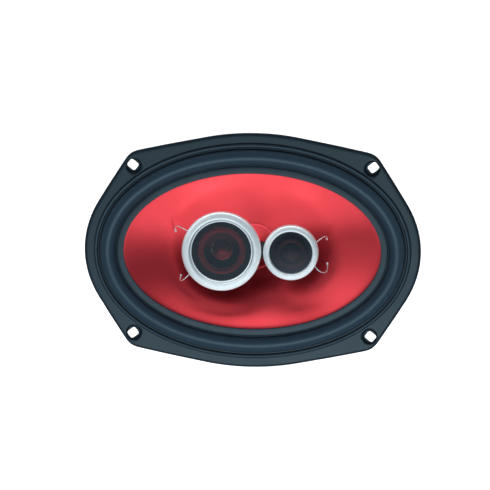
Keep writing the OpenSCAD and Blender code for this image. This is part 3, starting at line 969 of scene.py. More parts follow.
@dataclass
class Basket(Assembly):
    """The stamped steel frame: flange, upright wall, bowl with windows, ledge and cup."""

    steel: float = 1.2
    top: float = 4.0
    margin: float = 28.2
    ear: tuple[float, float] = (79.0, 59.0)
    ear_r: float = 11.2
    hole_spacing: tuple[float, float] = (168.0, 119.5)
    hole_size: tuple[float, float] = (7.0, 6.0)
    hole_turn: float = 38.0
    seat_r: float = 5.0
    seat_shift: float = 1.0
    wall_out: float = 16.5
    wall_low: float = -8.0
    ledge_z: float = -31.8
    ledge_out: float = 45.4
    cup_r: float = 39.9
    cup_floor: float = -44.0
    floor_hole: float = 17.5
    pad_half: float = 14.5
    pad_y: float = -40.4
    windows: int = 6
    leg_angle: float = 16.0
    rib: float = 1.1
    rib_side: tuple[float, float] = (0.03, 0.09)

    def support(self, angle: float, inset: float) -> float:
        """How far the flange's outline reaches in one direction.

        Args:
            angle: The direction, in radians.
            inset: How far inside the outline the curve runs.

        Returns:
            The distance from the middle, in millimetres.
        """
        c, s = abs(math.cos(angle)), abs(math.sin(angle))
        oval = math.hypot(OVAL.half_length * c, OVAL.half_width * s) + self.margin
        ears = self.ear[0] * c + self.ear[1] * s + self.ear_r
        return max(oval, ears) - inset

    def outline(self, inset: float, z: float) -> Station:
        """The station that runs `inset` inside the flange's outline at height z."""
        angles = [FULL_TURN * i / 360 for i in range(360)]
        sides = [(Vector((math.cos(a), math.sin(a))), self.support(a, inset)) for a in angles]

        def place(turn: float) -> Vector:
            """Where the way out from the cone's edge first meets a side that it doesn't graze."""
            start = Vector(OVAL.point(turn, 0.0))
            ahead = (Vector(OVAL.point(turn, 1.0)) - start).normalized()
            reach = min((far - start.dot(side)) / ahead.dot(side)
                        for side, far in sides if ahead.dot(side) > 0.2)
            return Vector((*(start + ahead * reach), z))

        return place

    def bowl(self, share: float) -> Station:
        """A station of the bowl, from 0 at the wall to 1 at the ledge, with ribs on its legs."""
        plain = between(OVAL.at(self.wall_out, self.wall_low),
                        circle(self.ledge_out + 0.6, self.ledge_z + 0.3), share)
        swell = self.rib * math.sin(math.pi * min(max(share, 0.0), 1.0)) ** 0.5

        def place(turn: float) -> Vector:
            """The bowl's point, pressed outwards near the middle of a leg."""
            off = abs(math.remainder(turn, FULL_TURN / self.windows))
            point = plain(turn)
            out = Vector((point.x, point.y, -point.z)).normalized()
            return point + out * swell * (1 - smooth_step(off, *self.rib_side))

        return place

    def cup(self, r: float, z: float) -> Station:
        """A station of the cup, pressed flat where the terminal board sits."""

        def place(turn: float) -> Vector:
            """The cup's point, pushed out to the pad if it is in front of the board."""
            point = circle(r, z)(turn)
            if point.y < 0 and abs(point.x) < self.pad_half:
                point.y = min(point.y, self.pad_y)
            return point

        return place

    def skin_sheet(self) -> bpy.types.Object:
        """The whole stamping, from the rolled rim to the cup's floor, with its windows."""
        top, out = self.top, self.wall_out
        rim = [(0.0, 0.0), (0.0, 1.3), (0.15, 2.6), (0.6, top - 0.5), (1.4, top - 0.05),
               (2.6, top), (3.6, top)]
        wall = [(out + 7.0, top), (out + 3.5, top), (out + 0.8, top), (out + 0.2, top - 0.4),
                (out, 2.6), (out, self.wall_low + 1.0)]
        shares = [0.03, 0.11, 0.22, 0.36, 0.5, 0.64, 0.78, 0.9, 0.97]
        r, low = self.cup_r, self.cup_floor
        stations = [self.outline(inset, z) for inset, z in rim]
        stations += [OVAL.at(away, z) for away, z in wall]
        first = len(stations) + 1
        stations += [self.bowl(share) for share in shares]
        stations += [circle(self.ledge_out, self.ledge_z), circle(r + 1.0, self.ledge_z),
                     circle(r + 0.1, self.ledge_z - 0.5), circle(r, self.ledge_z - 1.6)]
        stations += [self.cup(r, self.ledge_z - 2.4), self.cup(r, low + 1.4),
                     circle(r - 0.4, low + 0.4), circle(r - 1.4, low),
                     circle(30.0, low), circle(self.floor_hole, low)]
        shape = Shape()
        rows = shape.band(stations, AROUND, closed=False)
        # The bowl's first and last rows stay whole, above and below the windows.
        open_rows = rows[first:first + len(shares) - 3]
        gone = [face for row in open_rows for face in row if self.in_window(shape, face)]
        bmesh.ops.delete(shape.bm, geom=gone, context="FACES")
        return sheet(shape, "basket_sheet", self.steel)

    def in_window(self, shape: Shape, face: bmesh.types.BMFace) -> bool:
        """Whether a face of the bowl lies in one of the windows between the legs."""
        step = FULL_TURN / self.windows
        edge = math.radians(self.leg_angle / 2) - 1e-4
        return all(abs(math.remainder(vert[shape.turn], step)) > edge for vert in face.verts)

    def corners(self, shift: float = 0.0) -> list[tuple[float, float]]:
        """The four screw positions, moved by `shift` towards the middle."""
        x, y = (side / 2 for side in self.hole_spacing)
        share = 1 - shift / math.hypot(x, y)
        return [(i * x * share, j * y * share) for i in (-1, 1) for j in (-1, 1)]

    def screw_hole(self, centre: tuple[float, float]) -> Station:
        """A station of the rounded square screw hole, turned towards its own corner."""
        turn_by = math.radians(self.hole_turn) * math.copysign(1, centre[0] * centre[1])

        def place(turn: float) -> Vector:
            """The point of a squared circle, turned and moved to its place."""
            c, s = math.cos(turn), math.sin(turn)
            x = math.copysign(abs(c) ** 0.45, c) * self.hole_size[0] / 2
            y = math.copysign(abs(s) ** 0.45, s) * self.hole_size[1] / 2
            point = Matrix.Rotation(turn_by, 2) @ Vector((x, y))
            return Vector((centre[0] + point.x, centre[1] + point.y, 0))

        return place

    def build(self) -> None:
        """Builds the frame with its pressed screw seats."""
        made = self.skin_sheet()
        pads, seats, holes = Shape(), Shape(), Shape()
        r, edge = self.seat_r, self.seat_r + 0.9
        for centre in self.corners(self.seat_shift):
            pads.spin([(0, 0), (edge, 0), (edge, 3.5), (0, 3.5)], centre, 40)
            seats.spin([(0, self.steel), (r - 0.6, self.steel), (r - 0.2, 1.5), (r, 2.2),
                        (r + 0.1, 3.4), (r + 0.4, 3.8), (edge, self.top + 0.02),
                        (edge, self.top + 2), (0, self.top + 2)], centre, 40)
        for centre in self.corners():
            ring = self.screw_hole(centre)
            holes.band([lifted(ring, -1), lifted(ring, 3)], 32, closed=False, capped=True)
        combine(made, Join.ADD, pads)
        combine(made, Join.CUT, seats)
        combine(made, Join.CUT, holes.weld())
        made.data.set_sharp_from_angle(angle=math.radians(50))
        self.keep(made, "stamped_basket", Body.FRAME, STEEL_BLACK, "black_steel", ["basket"])


@dataclass
class Suspension(Assembly):
    """What holds and frames the cone: gasket bead, foam-rubber surround and cloth spider."""

    lip: float = 5.6
    skin: float = 4.8
    bead: tuple[float, float] = (18.3, 21.0)
    bead_top: float = 6.6
    roll_out: float = 11.55
    roll_r: float = 5.6
    roll_foot: float = 5.0
    roll_lean: float = 0.05
    roll_rise: float = 5.4
    wall: float = 0.6
    surround_bend: tuple[float, float] = (5.6, 17.2)
    former_r: float = 15.7
    spider_z: float = -31.5
    waves: int = 5
    wave_rise: float = 1.15
    wave_span: tuple[float, float] = (19.0, 39.0)
    spider_bend: tuple[float, float] = (17.5, 40.0)

    def out_of(self, point: Vector) -> float:
        """How far a point lies outside the visible cone's edge, in millimetres."""
        a, b = OVAL.half_length, OVAL.half_width
        turn = math.atan2(a * point.y, b * point.x)
        for _ in range(8):
            turn = math.atan2(b * point.y + (a * a - b * b) * math.sin(turn), a * point.x)
        edge = Vector(OVAL.point(turn, 0.0))
        return math.copysign((point.xy - edge).length, point.xy.length - edge.length)

    def gasket(self) -> None:
        """The raised bead that the speaker's grille or panel presses on."""
        foot, top = self.skin, self.bead_top
        near, far = self.bead
        outline = [(near, foot), (near, top - 1.0), (near + 0.2, top - 0.45),
                   (near + 0.7, top - 0.1), (near + 1.5, top), (far - 0.6, top - 0.1),
                   (far - 0.2, top - 0.45), (far, top - 1.0), (far, foot)]
        shape = Shape()
        shape.band([OVAL.at(out, z) for out, z in outline], AROUND)
        self.keep(shape, "gasket_bead", Body.FRAME, GASKET_RUBBER, "gasket_foam",
                  ["front_gasket"], 60.0)

    def surround(self) -> None:
        """The half roll between its flat inner lip and the skin of the flange."""
        inner = [(0.0, self.lip - 0.35), (0.2, self.lip - 0.08), (0.8, self.lip), (4.2, self.lip),
                 (4.8, self.lip - 0.1), (5.4, self.lip - 0.45)]
        outer = [(17.1, self.skin + 0.15), (17.6, self.skin), (19.5, self.skin), (21.4, self.skin)]
        turns = [math.radians(a) for a in range(0, 181, 15)]
        roll = [(self.roll_out - self.roll_r * math.cos(a),
                 self.roll_foot + self.roll_lean * math.cos(a) + self.roll_rise * math.sin(a))
                for a in turns]
        shape = Shape()
        shape.band([OVAL.at(out, z) for out, z in [*inner, *roll, *outer]], AROUND, closed=False)
        made = sheet(shape, "surround", self.wall)
        self.keep(made, "half_roll_surround", Body.FRAME, SURROUND_RUBBER, "surround_rubber",
                  ["surround"])
        self.flex(made, Body.WOOFER,
                  lambda p: 1 - smooth_step(self.out_of(p), *self.surround_bend))

    def spider(self) -> None:
        """The corrugated cloth disc that centres the voice coil."""
        first, last = self.wave_span
        steps = 12 * self.waves
        waves = [(first + (last - first) * k / steps,
                  self.spider_z + self.wave_rise * math.sin(FULL_TURN * self.waves * k / steps))
                 for k in range(steps + 1)]
        z, outer = self.spider_z, Span.of("spider").radius
        outline = [(self.former_r, z), (self.former_r + 1.5, z), *waves, (last + 2.0, z),
                   (outer, z)]
        shape = Shape()
        shape.band([circle(r, height) for r, height in outline], 120, closed=False)
        made = sheet(shape, "spider", 0.4, 0)
        self.keep(made, "corrugated_spider", Body.FRAME, SPIDER_CLOTH, "spider_cloth", ["spider"])
        self.flex(made, Body.WOOFER,
                  lambda p: 1 - smooth_step(p.xy.length, *self.spider_bend))

    def build(self) -> None:
        """Builds the three soft pieces."""
        self.gasket()
        self.surround()
        self.spider()


@dataclass
class WooferCone(Assembly):
    """The big oval cone and what is glued to it."""

    neck_r: float = 15.5
    neck_z: float = -22.0
    rim_z: float = 4.7
    flare: float = 1.08
    wall: float = 0.6
    post_hole: float = 6.0

    def side(self, share: float) -> Station:
        """A station of the cone's side, from 0 at the neck to 1 at the visible edge."""
        a = self.neck_r + (OVAL.half_length - self.neck_r) * share
        b = self.neck_r + (OVAL.half_width - self.neck_r) * share
        z = self.neck_z + (self.rim_z - self.neck_z) * share ** self.flare
        return lambda turn: Vector((a * math.cos(turn), b * math.sin(turn), z))

    def body(self) -> None:
        """The cone's skin, from the neck to the flat rim under the surround's lip."""
        steps = 14
        stations = [self.side(k / steps) for k in range(steps + 1)]
        stations += [OVAL.at(out, self.rim_z) for out in (0.8, 2.5, RIM)]
        shape = Shape()
        shape.band(stations, AROUND, closed=False)
        made = sheet(shape, "cone", self.wall)
        self.keep(made, "metallic_cone", Body.WOOFER, CONE_RED, "red_cone", ["cone"])

    def dust_ring(self) -> None:
        """The ring that closes the coil's mouth round the post and laps onto the cone."""
        box = Span.of("dust_ring")
        lap, r, hole = self.neck_z + 0.3, box.radius, self.post_hole
        outline = [(hole, box.low.z), (r, box.high.z - 0.35), (r, lap),
                   (self.neck_r + 1.0, lap + 0.1), (self.neck_r + 1.05, lap + 0.25),
                   (self.neck_r, lap + 0.2), (r - 0.6, lap - 0.1), (r - 1.4, box.high.z + 0.3),
                   (hole + 0.2, box.low.z + 0.4), (hole, box.low.z + 0.3)]
        self.keep(Shape().spin(outline, steps=72), "dust_ring_film", Body.WOOFER, CONE_RED,
                  "red_cone", ["dust_ring"])

    def build(self) -> None:
        """Builds the cone and the dust ring."""
        self.body()
        self.dust_ring()


@dataclass
class Motor(Assembly):
    """The magnet system behind the cone."""

    gap_r: float = 16.6
    ferrite_hole: float = 20.0
    pole_r: float = 14.7
    back_thickness: float = 5.0
    well_r: float = 5.0
    well_depth: float = 4.0
    screw_r: float = 2.0
    socket_r: float = 4.0
    socket_depth: float = 15.0

    def plate(self) -> None:
        """The top plate, with the gap for the voice coil."""
        box = Span.of("top_plate")
        shape = Shape().spin([(self.gap_r, box.low.z), (box.radius, box.low.z),
                              (box.radius, box.high.z), (self.gap_r, box.high.z)]).soften(0.5)
        self.keep(shape, "motor_top_plate", Body.FRAME, ZINC_TURNED, "zinc_plate", ["top_plate"])

    def ferrite(self) -> None:
        """The ferrite ring, chamfered where it is ground."""
        box, edge = Span.of("magnet"), 0.8
        outline = [(self.ferrite_hole, box.low.z), (box.radius - edge, box.low.z),
                   (box.radius, box.low.z + edge), (box.radius, box.high.z - edge),
                   (box.radius - edge, box.high.z), (self.ferrite_hole, box.high.z)]
        self.keep(Shape().spin(outline).soften(0.2), "ferrite_ring", Body.FRAME, FERRITE,
                  "ferrite", ["magnet"], 30.0)

    def back(self) -> None:
        """The back plate with the pole forged on it and a well for the post's screw."""
        box = Span.of("back_plate")
        low, top, edge = box.low.z, box.low.z + self.back_thickness, 1.0
        well, socket = low + self.well_depth, box.high.z - self.socket_depth
        outline = [(self.well_r, low), (box.radius - edge, low), (box.radius, low + edge),
                   (box.radius, top), (self.pole_r + 3, top), (self.pole_r, top + 3),
                   (self.pole_r, box.high.z), (self.socket_r, box.high.z),
                   (self.socket_r, socket), (self.screw_r, socket), (self.screw_r, well),
                   (self.well_r, well)]
        self.keep(Shape().spin(outline).soften(0.35), "back_plate_and_pole", Body.FRAME,
                  ZINC_TURNED, "zinc_plate", ["back_plate"], 30.0)

    def build(self) -> None:
        """Builds the two plates and the ferrite ring."""
        self.plate()
        self.ferrite()
        self.back()


def perforated(radius: float, pitch: float, bar: float, thickness: float,
               height: Callable[[float], float], centre: tuple[float, float]) -> Shape:
    """Round sheet with six-sided holes side by side.

    Args:
        radius: The radius that the holes fill.
        pitch: From one hole's middle to the next.
        bar: The width of the metal between two holes.
        thickness: The sheet's thickness.
        height: The height of its underside, by the distance from its middle.
        centre: Its middle, seen from the front.

    Returns:
        The sheet, closed on every side.
    """
    shape = Shape()
    row_step = pitch * math.sqrt(3) / 2
    rows = math.ceil(radius / row_step)
    for j in range(-rows, rows + 1):
        for i in range(-rows - 2, rows + 3):
            x, y = (i + (j % 2) / 2) * pitch, j * row_step
            if math.hypot(x, y) < radius:
                bmesh.ops.create_circle(shape.bm, cap_ends=True, segments=6,
                                        radius=pitch / math.sqrt(3),
                                        matrix=Matrix.Translation((x, y, 0)))
    bmesh.ops.remove_doubles(shape.bm, verts=shape.bm.verts, dist=pitch * 0.05)
    cells = shape.bm.faces[:]
    bmesh.ops.recalc_face_normals(shape.bm, faces=cells)
    if sum(face.normal.z for face in cells) < 0:
        bmesh.ops.reverse_faces(shape.bm, faces=cells)
    bmesh.ops.inset_individual(shape.bm, faces=cells, thickness=bar / 2, use_even_offset=True)
    bmesh.ops.delete(shape.bm, geom=cells, context="FACES")
    lower = shape.bm.faces[:]
    made = bmesh.ops.extrude_face_region(shape.bm, geom=lower, use_keep_orig=True)["geom"]
    upper = [g for g in made if isinstance(g, bmesh.types.BMVert)]
    bmesh.ops.translate(shape.bm, verts=upper, vec=(0, 0, thickness))
    bmesh.ops.recalc_face_normals(shape.bm, faces=shape.bm.faces)
    for vert in shape.bm.verts:
        vert.co.z += height(vert.co.xy.length)
        vert.co = (vert.co + Vector((*centre, 0))) * MM
    return shape


def turned_on(box: Span, outline: Outline, steps: int = 128) -> Shape:
    """A ring or disc turned round the middle of a CAD node.

    Args:
        box: The node's box.
        outline: Points of radius and height.
        steps: How many steps the full turn has.

    Returns:
        The shape.
    """
    return Shape().spin(outline, box.centre, steps)


@dataclass
class Midrange(Assembly):
    """The larger of the two small speakers on the bridge."""

    ring: Span = field(default_factory=lambda: Span.of("mid_trim_ring"))
    bezel: Span = field(default_factory=lambda: Span.of("mid_bezel_ring"))
    mouth: float = 22.3
    pitch: float = 0.95
    bar: float = 0.5
    sheet: float = 0.35
    cone_r: float = 13.5
    crest: float = 15.0
    roll_r: float = 1.6
    roll_rise: float = 1.35
    lip: float = 2.05
    bend: tuple[float, float] = (13.4, 16.8)
    film: float = 0.3

    def rings(self) -> None:
        """The silver trim ring and the thin bezel inside it."""
        top, r, mouth = self.ring.high.z, self.ring.radius, self.mouth
        outline = [(mouth, 5.0), (r - 1.1, 5.0), (r - 1.1, 2.5), (r, 2.5), (r, top - 2.0),
                   (r - 0.2, top - 1.5), (r - 0.6, top - 1.05), (r - 1.2, top - 0.72),
                   (r - 2.2, top - 0.38), (mouth + 2.1, top - 0.1), (mouth + 1.2, top),
                   (mouth + 0.6, top - 0.15), (mouth + 0.2, top - 0.55), (mouth, top - 1.4)]
        self.keep(turned_on(self.ring, outline), "midrange_trim_ring", Body.FRAME, SILVER,
                  "silver_trim", ["mid_trim_ring"], 60.0)
        r, low, top = self.bezel.radius, self.bezel.low.z, self.bezel.high.z
        outline = [(r - 0.95, low), (r, low), (r, top - 0.3),
                   (r - 0.12, top - 0.08), (r - 0.4, top), (r - 0.6, top),
                   (r - 0.85, top - 0.1), (r - 0.95, top - 0.35)]
        self.keep(turned_on(self.bezel, outline), "midrange_bezel_ring", Body.FRAME, SILVER,
                  "silver_trim", ["mid_bezel_ring"], 60.0)

    def grille(self) -> None:
        """The flat perforated grille."""
        box = Span.of("mid_grille")
        shape = perforated(box.radius - 0.4, self.pitch, self.bar, self.sheet,
                           lambda r: box.low.z + 0.1, box.centre)
        near, far = box.radius - 0.75, box.radius - 0.02
        rim = [(near, box.low.z), (far, box.low.z), (far, box.high.z), (near, box.high.z)]
        shape.spin_more(rim, box.centre)
        self.keep(shape, "midrange_grille", Body.FRAME, MESH_BLACK, "black_mesh", ["mid_grille"])

    def roll(self) -> None:
        """The cloth roll round the small cone, red as far as its outer foot."""
        box = Span.of("mid_surround")
        turns = [math.radians(a) for a in range(0, 181, 20)]
        over = [(self.crest - self.roll_r * math.cos(a),
                 self.lip + 0.05 + self.roll_rise * math.sin(a)) for a in turns]
        outline = [(12.7, self.lip), *over, (17.4, self.lip), (21.8, self.lip)]
        shape = Shape()
        shape.band([circle(r, z, box.centre) for r, z in outline], 96, closed=False)
        made = sheet(shape, "roll", 0.22, 0)
        self.keep(made, "midrange_roll", Body.FRAME, ROLL_CLOTH, "midrange_cloth",
                  ["mid_surround"])
        middle = Vector(box.centre)
        self.flex(made, Body.MIDRANGE,
                  lambda p: 1 - smooth_step((p.xy - middle).length, *self.bend))

    def cone(self) -> None:
        """The small metallic cone and its domed middle."""
        box = Span.of("mid_cone")
        outline = [(7.2, -2.25), (9.0, -1.25), (11.0, 0.0), (12.8, 1.25), (self.cone_r, 1.45)]
        shape = Shape()
        shape.band([circle(r, z, box.centre) for r, z in outline], 96, closed=False)
        made = sheet(shape, "small_cone", 0.25)
        self.keep(made, "midrange_cone_skin", Body.MIDRANGE, DIAPHRAGM_RED_AND_SHADE,
                  "red_diaphragm", ["mid_cone"])
        cap = Span.of("mid_dust_cap")
        steps = 8
        bulge = [(cap.radius * k / steps, cap.high.z - 1.8 * (k / steps) ** 2)
                 for k in range(steps + 1)]
        under = [(r, z - self.film) for r, z in reversed(bulge)]
        self.keep(turned_on(cap, [*bulge, *under], 64), "midrange_cap", Body.MIDRANGE,
                  CAP_RED_AND_SHADE, "red_diaphragm", ["mid_dust_cap"], 60.0)

    def housing(self) -> None:
        """The black moulding that holds it all."""
        box = Span.of("mid_housing")
        low, top, r = box.low.z, box.high.z, box.radius
        outline = [(9.3, low), (20, low), (r, 1), (r, top), (22, top), (22, 1.6), (17.5, 1.6),
                   (17.5, -1.2), (16.3, -2.4), (9.3, -2.4)]
        self.keep(turned_on(box, outline).soften(0.3), "midrange_housing", Body.FRAME,
                  PLASTIC_BLACK, "black_plastic", ["mid_housing"], 35.0)

    def build(self) -> None:
        """Builds the midrange from the housing forwards."""
        self.housing()
        self.cone()
        self.roll()
        self.grille()
        self.rings()


@dataclass
class Tweeter(Assembly):
    """The smaller of the two small speakers on the bridge."""

    ring: Span = field(default_factory=lambda: Span.of("tweeter_trim_ring"))
    mouth: float = 14.9
    pitch: float = 0.95
    bar: float = 0.5
    sheet: float = 0.35
    grille_rise: float = 1.4
    film: float = 0.25
    film_low: float = 4.05

    def trim(self) -> None:
        """The silver trim ring."""
        top, r, mouth = self.ring.high.z, self.ring.radius, self.mouth
        outline = [(mouth, 6.2), (r - 0.8, 6.2), (r - 0.8, 3.5), (r, 3.5), (r, top - 1.8),
                   (r - 0.2, top - 1.3), (r - 0.5, top - 0.9), (r - 1.1, top - 0.58),
                   (r - 2.0, top - 0.26), (mouth + 1.6, top - 0.05), (mouth + 0.9, top),
                   (mouth + 0.4, top - 0.2), (mouth + 0.1, top - 0.7), (mouth, top - 1.8)]
        self.keep(turned_on(self.ring, outline), "tweeter_trim", Body.FRAME, SILVER, "silver_trim",
                  ["tweeter_trim_ring"], 60.0)

    def grille(self) -> None:
        """The domed perforated grille with its folded skirt."""
        box = Span.of("tweeter_grille")
        edge = box.radius - 0.45

        def dome(r: float) -> float:
            """The height of the sheet's underside at a distance from the middle."""
            return box.high.z - 0.4 - self.grille_rise * (r / edge) ** 2

        shape = perforated(edge - 0.1, self.pitch, self.bar, self.sheet, dome, box.centre)
        low = dome(edge)
        skirt = [(edge - 0.6, low - 0.05), (edge + 0.05, low - 0.35), (edge + 0.05, box.low.z),
                 (box.radius, box.low.z), (box.radius, low - 0.1), (box.radius - 0.2, low + 0.25),
                 (edge - 0.2, low + 0.45), (edge - 0.6, low + 0.45)]
        shape.spin_more(skirt, box.centre)
        self.keep(shape, "tweeter_dome_grille", Body.FRAME, MESH_BLACK, "black_mesh",
                  ["tweeter_grille"])

    def diaphragm(self) -> None:
        """The red dome, its roll and the rim, moulded as one film."""
        box = Span.of("tweeter_dome")
        base = self.film_low
        dome = [(6.7 * k / 8, base + 1.8 * (1 - (k / 8) ** 2)) for k in range(9)]
        roll = [(9 - 2 * math.cos(a), base + 0.8 * math.sin(a))
                for a in (math.radians(30 * k) for k in range(1, 6))]
        top = [*dome, *roll, (11.2, base), (box.radius, base)]
        outline = [*[(r, z + self.film) for r, z in top], *reversed(top)]
        self.keep(turned_on(box, outline, 72), "tweeter_diaphragm_film", Body.TWEETER,
                  DIAPHRAGM_RED_AND_SHADE, "red_diaphragm", ["tweeter_dome"], 60.0)

    def housing(self) -> None:
        """The black moulding that holds it all."""
        box = Span.of("tweeter_housing")
        low, top, r = box.low.z, box.high.z, box.radius
        outline = [(0, low), (12, low), (r, 0.5), (r, top), (14.7, top), (14.7, 3.6), (9.3, 3.6),
                   (9.3, -1.5), (0, -1.5)]
        self.keep(turned_on(box, outline).soften(0.3), "tweeter_moulding", Body.FRAME,
                  PLASTIC_BLACK, "black_plastic", ["tweeter_housing"], 35.0)

    def build(self) -> None:
        """Builds the tweeter from the housing forwards."""
        self.housing()
        self.diaphragm()
        self.grille()
        self.trim()


@dataclass
class Terminals(Assembly):
    """The two connector blades on their board."""

    fold: float = 0.8

    def blade(self, node: str, finish: Finish, slot: str) -> None:
        """One L-shaped blade with a rounded tip and a detent hole.

        Args:
            node: Its CAD node.
            finish: Its finish.
            slot: The record's material slot.
        """
        box = Span.of(node)
        x, w = box.centre[0], box.radius
        foot_y, tab_z = box.high.y, box.low.z + 4
        shape = Shape()
        shape.block((x - w, foot_y - self.fold, box.low.z), (x + w, foot_y, box.high.z))
        shape.block((x - w, box.low.y, tab_z), (x + w, foot_y - 0.05, tab_z + self.fold))
        shape.soften(0.18)
        made = shape.mesh(node + "_plain")
        hole = Shape().spin([(0, tab_z - 1), (0.7, tab_z - 1), (0.7, tab_z + 2), (0, tab_z + 2)],
                            (x, box.low.y + 2.5), 24)
        combine(made, Join.CUT, hole)
        self.keep(made, node + "_blade", Body.FRAME, finish, slot, [node])

    def build(self) -> None:
        """Builds the board and the two blades."""
        box = Span.of("terminal_board")
        board = Shape().block(box.low, box.high).soften(0.25)
        made = board.mesh("board")
        self.keep(made, "connector_board", Body.FRAME, BOARD, "fibre_board", ["terminal_board"])
        self.blade("terminal_tab_positive", BRASS, "brass_tab")
        self.blade("terminal_tab_negative", TIN, "tinned_tab")


@dataclass
class Lead(Assembly):
    """A braided lead held at both ends, made of twisted strands along its route.

    A strand's radius is strand_share of the lead's, and lay is the length of one twist. Its holds
    are shares of its length, between which each point's share of the cone's motion is worked
    out; nothing uses that share.
    """

    node: str
    route: Sequence[Triple]
    finish: Finish
    slot: str
    radius: float
    strands: int
    strand_share: float
    lay: float
    steps: int = 8
    holds: tuple[float, float] = (0.06, 0.94)

    def path(self) -> list[Vector]:
        """The smooth curve through the route's points."""
        points = [Vector(p) for p in self.route]
        points = [2 * points[0] - points[1], *points, 2 * points[-1] - points[-2]]
        curve = []
        for a, b, c, d in zip(points, points[1:], points[2:], points[3:]):
            for k in range(self.steps):
                t = k / self.steps
                curve.append(0.5 * (2 * b + (c - a) * t + (2 * a - 5 * b + 4 * c - d) * t * t
                                    + (3 * b - a - 3 * c + d) * t ** 3))
        return [*curve, points[-2]]

    def build(self) -> None:
        """Builds the strands and works out each point's share of the cone's motion."""
        curve = self.path()
        strand_r = self.radius * self.strand_share
        offset = self.radius - strand_r
        frames, side, length = [], Vector((0.3, 0.2, 1)), 0.0
        for k, point in enumerate(curve):
            ahead = (curve[min(k + 1, len(curve) - 1)] - curve[max(k - 1, 0)]).normalized()
            side = (side - ahead * side.dot(ahead)).normalized()
            length += (point - curve[max(k - 1, 0)]).length
            frames.append((point, side.copy(), ahead.cross(side), length))
        shape = Shape()
        for i in range(self.strands):
            stations = [self.strand(frame, offset, strand_r, FULL_TURN * i / self.strands)
                        for frame in frames]
            shape.band(stations, 6, closed=False, capped=True)
        piece = self.keep(shape.weld(), self.node + "_braid", Body.FRAME, self.finish,
                          self.slot, [self.node], 80.0)
        self.flex(piece, Body.WOOFER,
                  lambda p: smooth_step(self.way_along(curve, p), *self.holds))

    @staticmethod
    def way_along(curve: Sequence[Vector], point: Vector) -> float:
        """How far along the curve its nearest point lies, from 0 to 1."""
        nearest = min(range(len(curve)), key=lambda k: (curve[k] - point).length_squared)
        return nearest / (len(curve) - 1)

    def strand(self, frame: tuple, offset: float, strand_r: float, start: float) -> Station:
        """One loop of one strand.

        Args:
            frame: The route's point, its two side directions and the length so far.
            offset: From the lead's middle to the strand's.
            strand_r: The strand's radius.
            start: Where the strand starts round the lead, in radians.

        Returns:
            The station.
        """
        point, side, up, length = frame
        twist = start + FULL_TURN * length / self.lay
        middle = point + (side * math.cos(twist) + up * math.sin(twist)) * offset
        return lambda turn: middle + (side * math.cos(turn) + up * math.sin(turn)) * strand_r


FRONT_ROUTES: dict[str, list[Triple]] = {
    "lead_mid_upper": [(-44.4, 12.9, 1.6), (-47.4, 14.6, 2.2), (-50.4, 16.1, 1.8),
                       (-53, 16.7, 0.1), (-54.5, 15.9, -2.3), (-54.8, 14.1, -4.4),
                       (-54.7, 12.2, -5.4)],
    "lead_mid_lower": [(-42.8, -16.2, 1.6), (-45.2, -18.4, 2.1), (-47.7, -20.7, 1.4),
                       (-49.8, -22.2, -0.6), (-50.8, -21.9, -2.8), (-50.9, -20.6, -4.3),
                       (-50.7, -19.3, -4.9)],
    "lead_tweeter_upper": [(44.6, 6.8, 2.4), (46.6, 8.4, 2.9), (48.8, 9.8, 2.2),
                           (50.9, 10.8, 0), (52.1, 10.6, -2.9), (52.2, 9.2, -5.3),
                           (52.1, 7.8, -6.4)],
    "lead_tweeter_lower": [(43.8, -8.8, 2.4), (45.6, -11.8, 2.9), (48.2, -14, 2.2),
                           (51, -14.9, 0), (52.8, -14, -2.9), (53, -11.8, -5),
                           (52.9, -9.8, -5.9)]}
TERMINAL_ROUTE = [(8.5, -45, -36.6), (8.5, -47.4, -36.2), (8.3, -50, -34.4), (8, -52, -31.4),
                  (7.6, -52.4, -28), (7.2, -51, -24.6), (6.7, -48, -21.6), (6.2, -44, -19.2),
                  (5.7, -40, -17.4), (5.3, -36, -16.2), (5, -32.4, -15.2), (5, -30.2, -13.9)]


@dataclass
class Wiring(Assembly):
    """Every lead of the speaker."""

    def build(self) -> None:
        """Builds the four front leads and the two behind the cone."""
        for node, route in FRONT_ROUTES.items():
            Lead(node, route, TINNED, "tinned_wire", radius=0.4, strands=3, strand_share=0.48,
                 lay=2.6).build()
        for node, side in (("tinsel_lead_positive", 1), ("tinsel_lead_negative", -1)):
            route = [(side * x, y, z) for x, y, z in TERMINAL_ROUTE]
            Lead(node, route, BRAID, "copper_braid", radius=0.78, strands=5,
                 strand_share=0.36, lay=6.0).build()


@dataclass
class PlainParts(Assembly):
    """The CAD nodes whose own shape shows, each in the finish of its slot."""

    def build(self) -> None:
        """Gives each CAD node a material."""
        for node in frame["nodes"].values():
            slot = node.data.materials[0].name
            node.data.materials[0] = SLOT_FINISHES[slot].material()
        LOG.info("finished %d CAD nodes", len(frame["nodes"]))


class Reach(Enum):
    """What a light falls on."""

    PAST_PODS = "all but the black rim, with no shade from the two small speakers"
    SHADED = "all but the black rim"
    BLACK_RIM = "the black rim alone, with no shade from the two small speakers"


@dataclass(frozen=True)
class Softbox:
    """One area light, in metres, as bright all over as `glow` times a white wall."""

    name: str
    place: Triple
    size: tuple[float, float]
    glow: float
    reach: Reach
    colour: Colour = (1.0, 1.0, 1.0)

    def hang(self) -> None:
        """Adds the light, aimed at the speaker."""
        data = bpy.data.lights.new(self.name, "AREA")
        data.shape, data.size, data.size_y = "RECTANGLE", *self.size
        data.energy = math.pi * self.size[0] * self.size[1] * self.glow
        data.color = self.colour
        made = bpy.data.objects.new(self.name, data)
        made.location = self.place
        made.rotation_euler = Vector(self.place).to_track_quat("Z", "Y").to_euler()
        made.visible_camera = False
        bpy.context.scene.collection.objects.link(made)


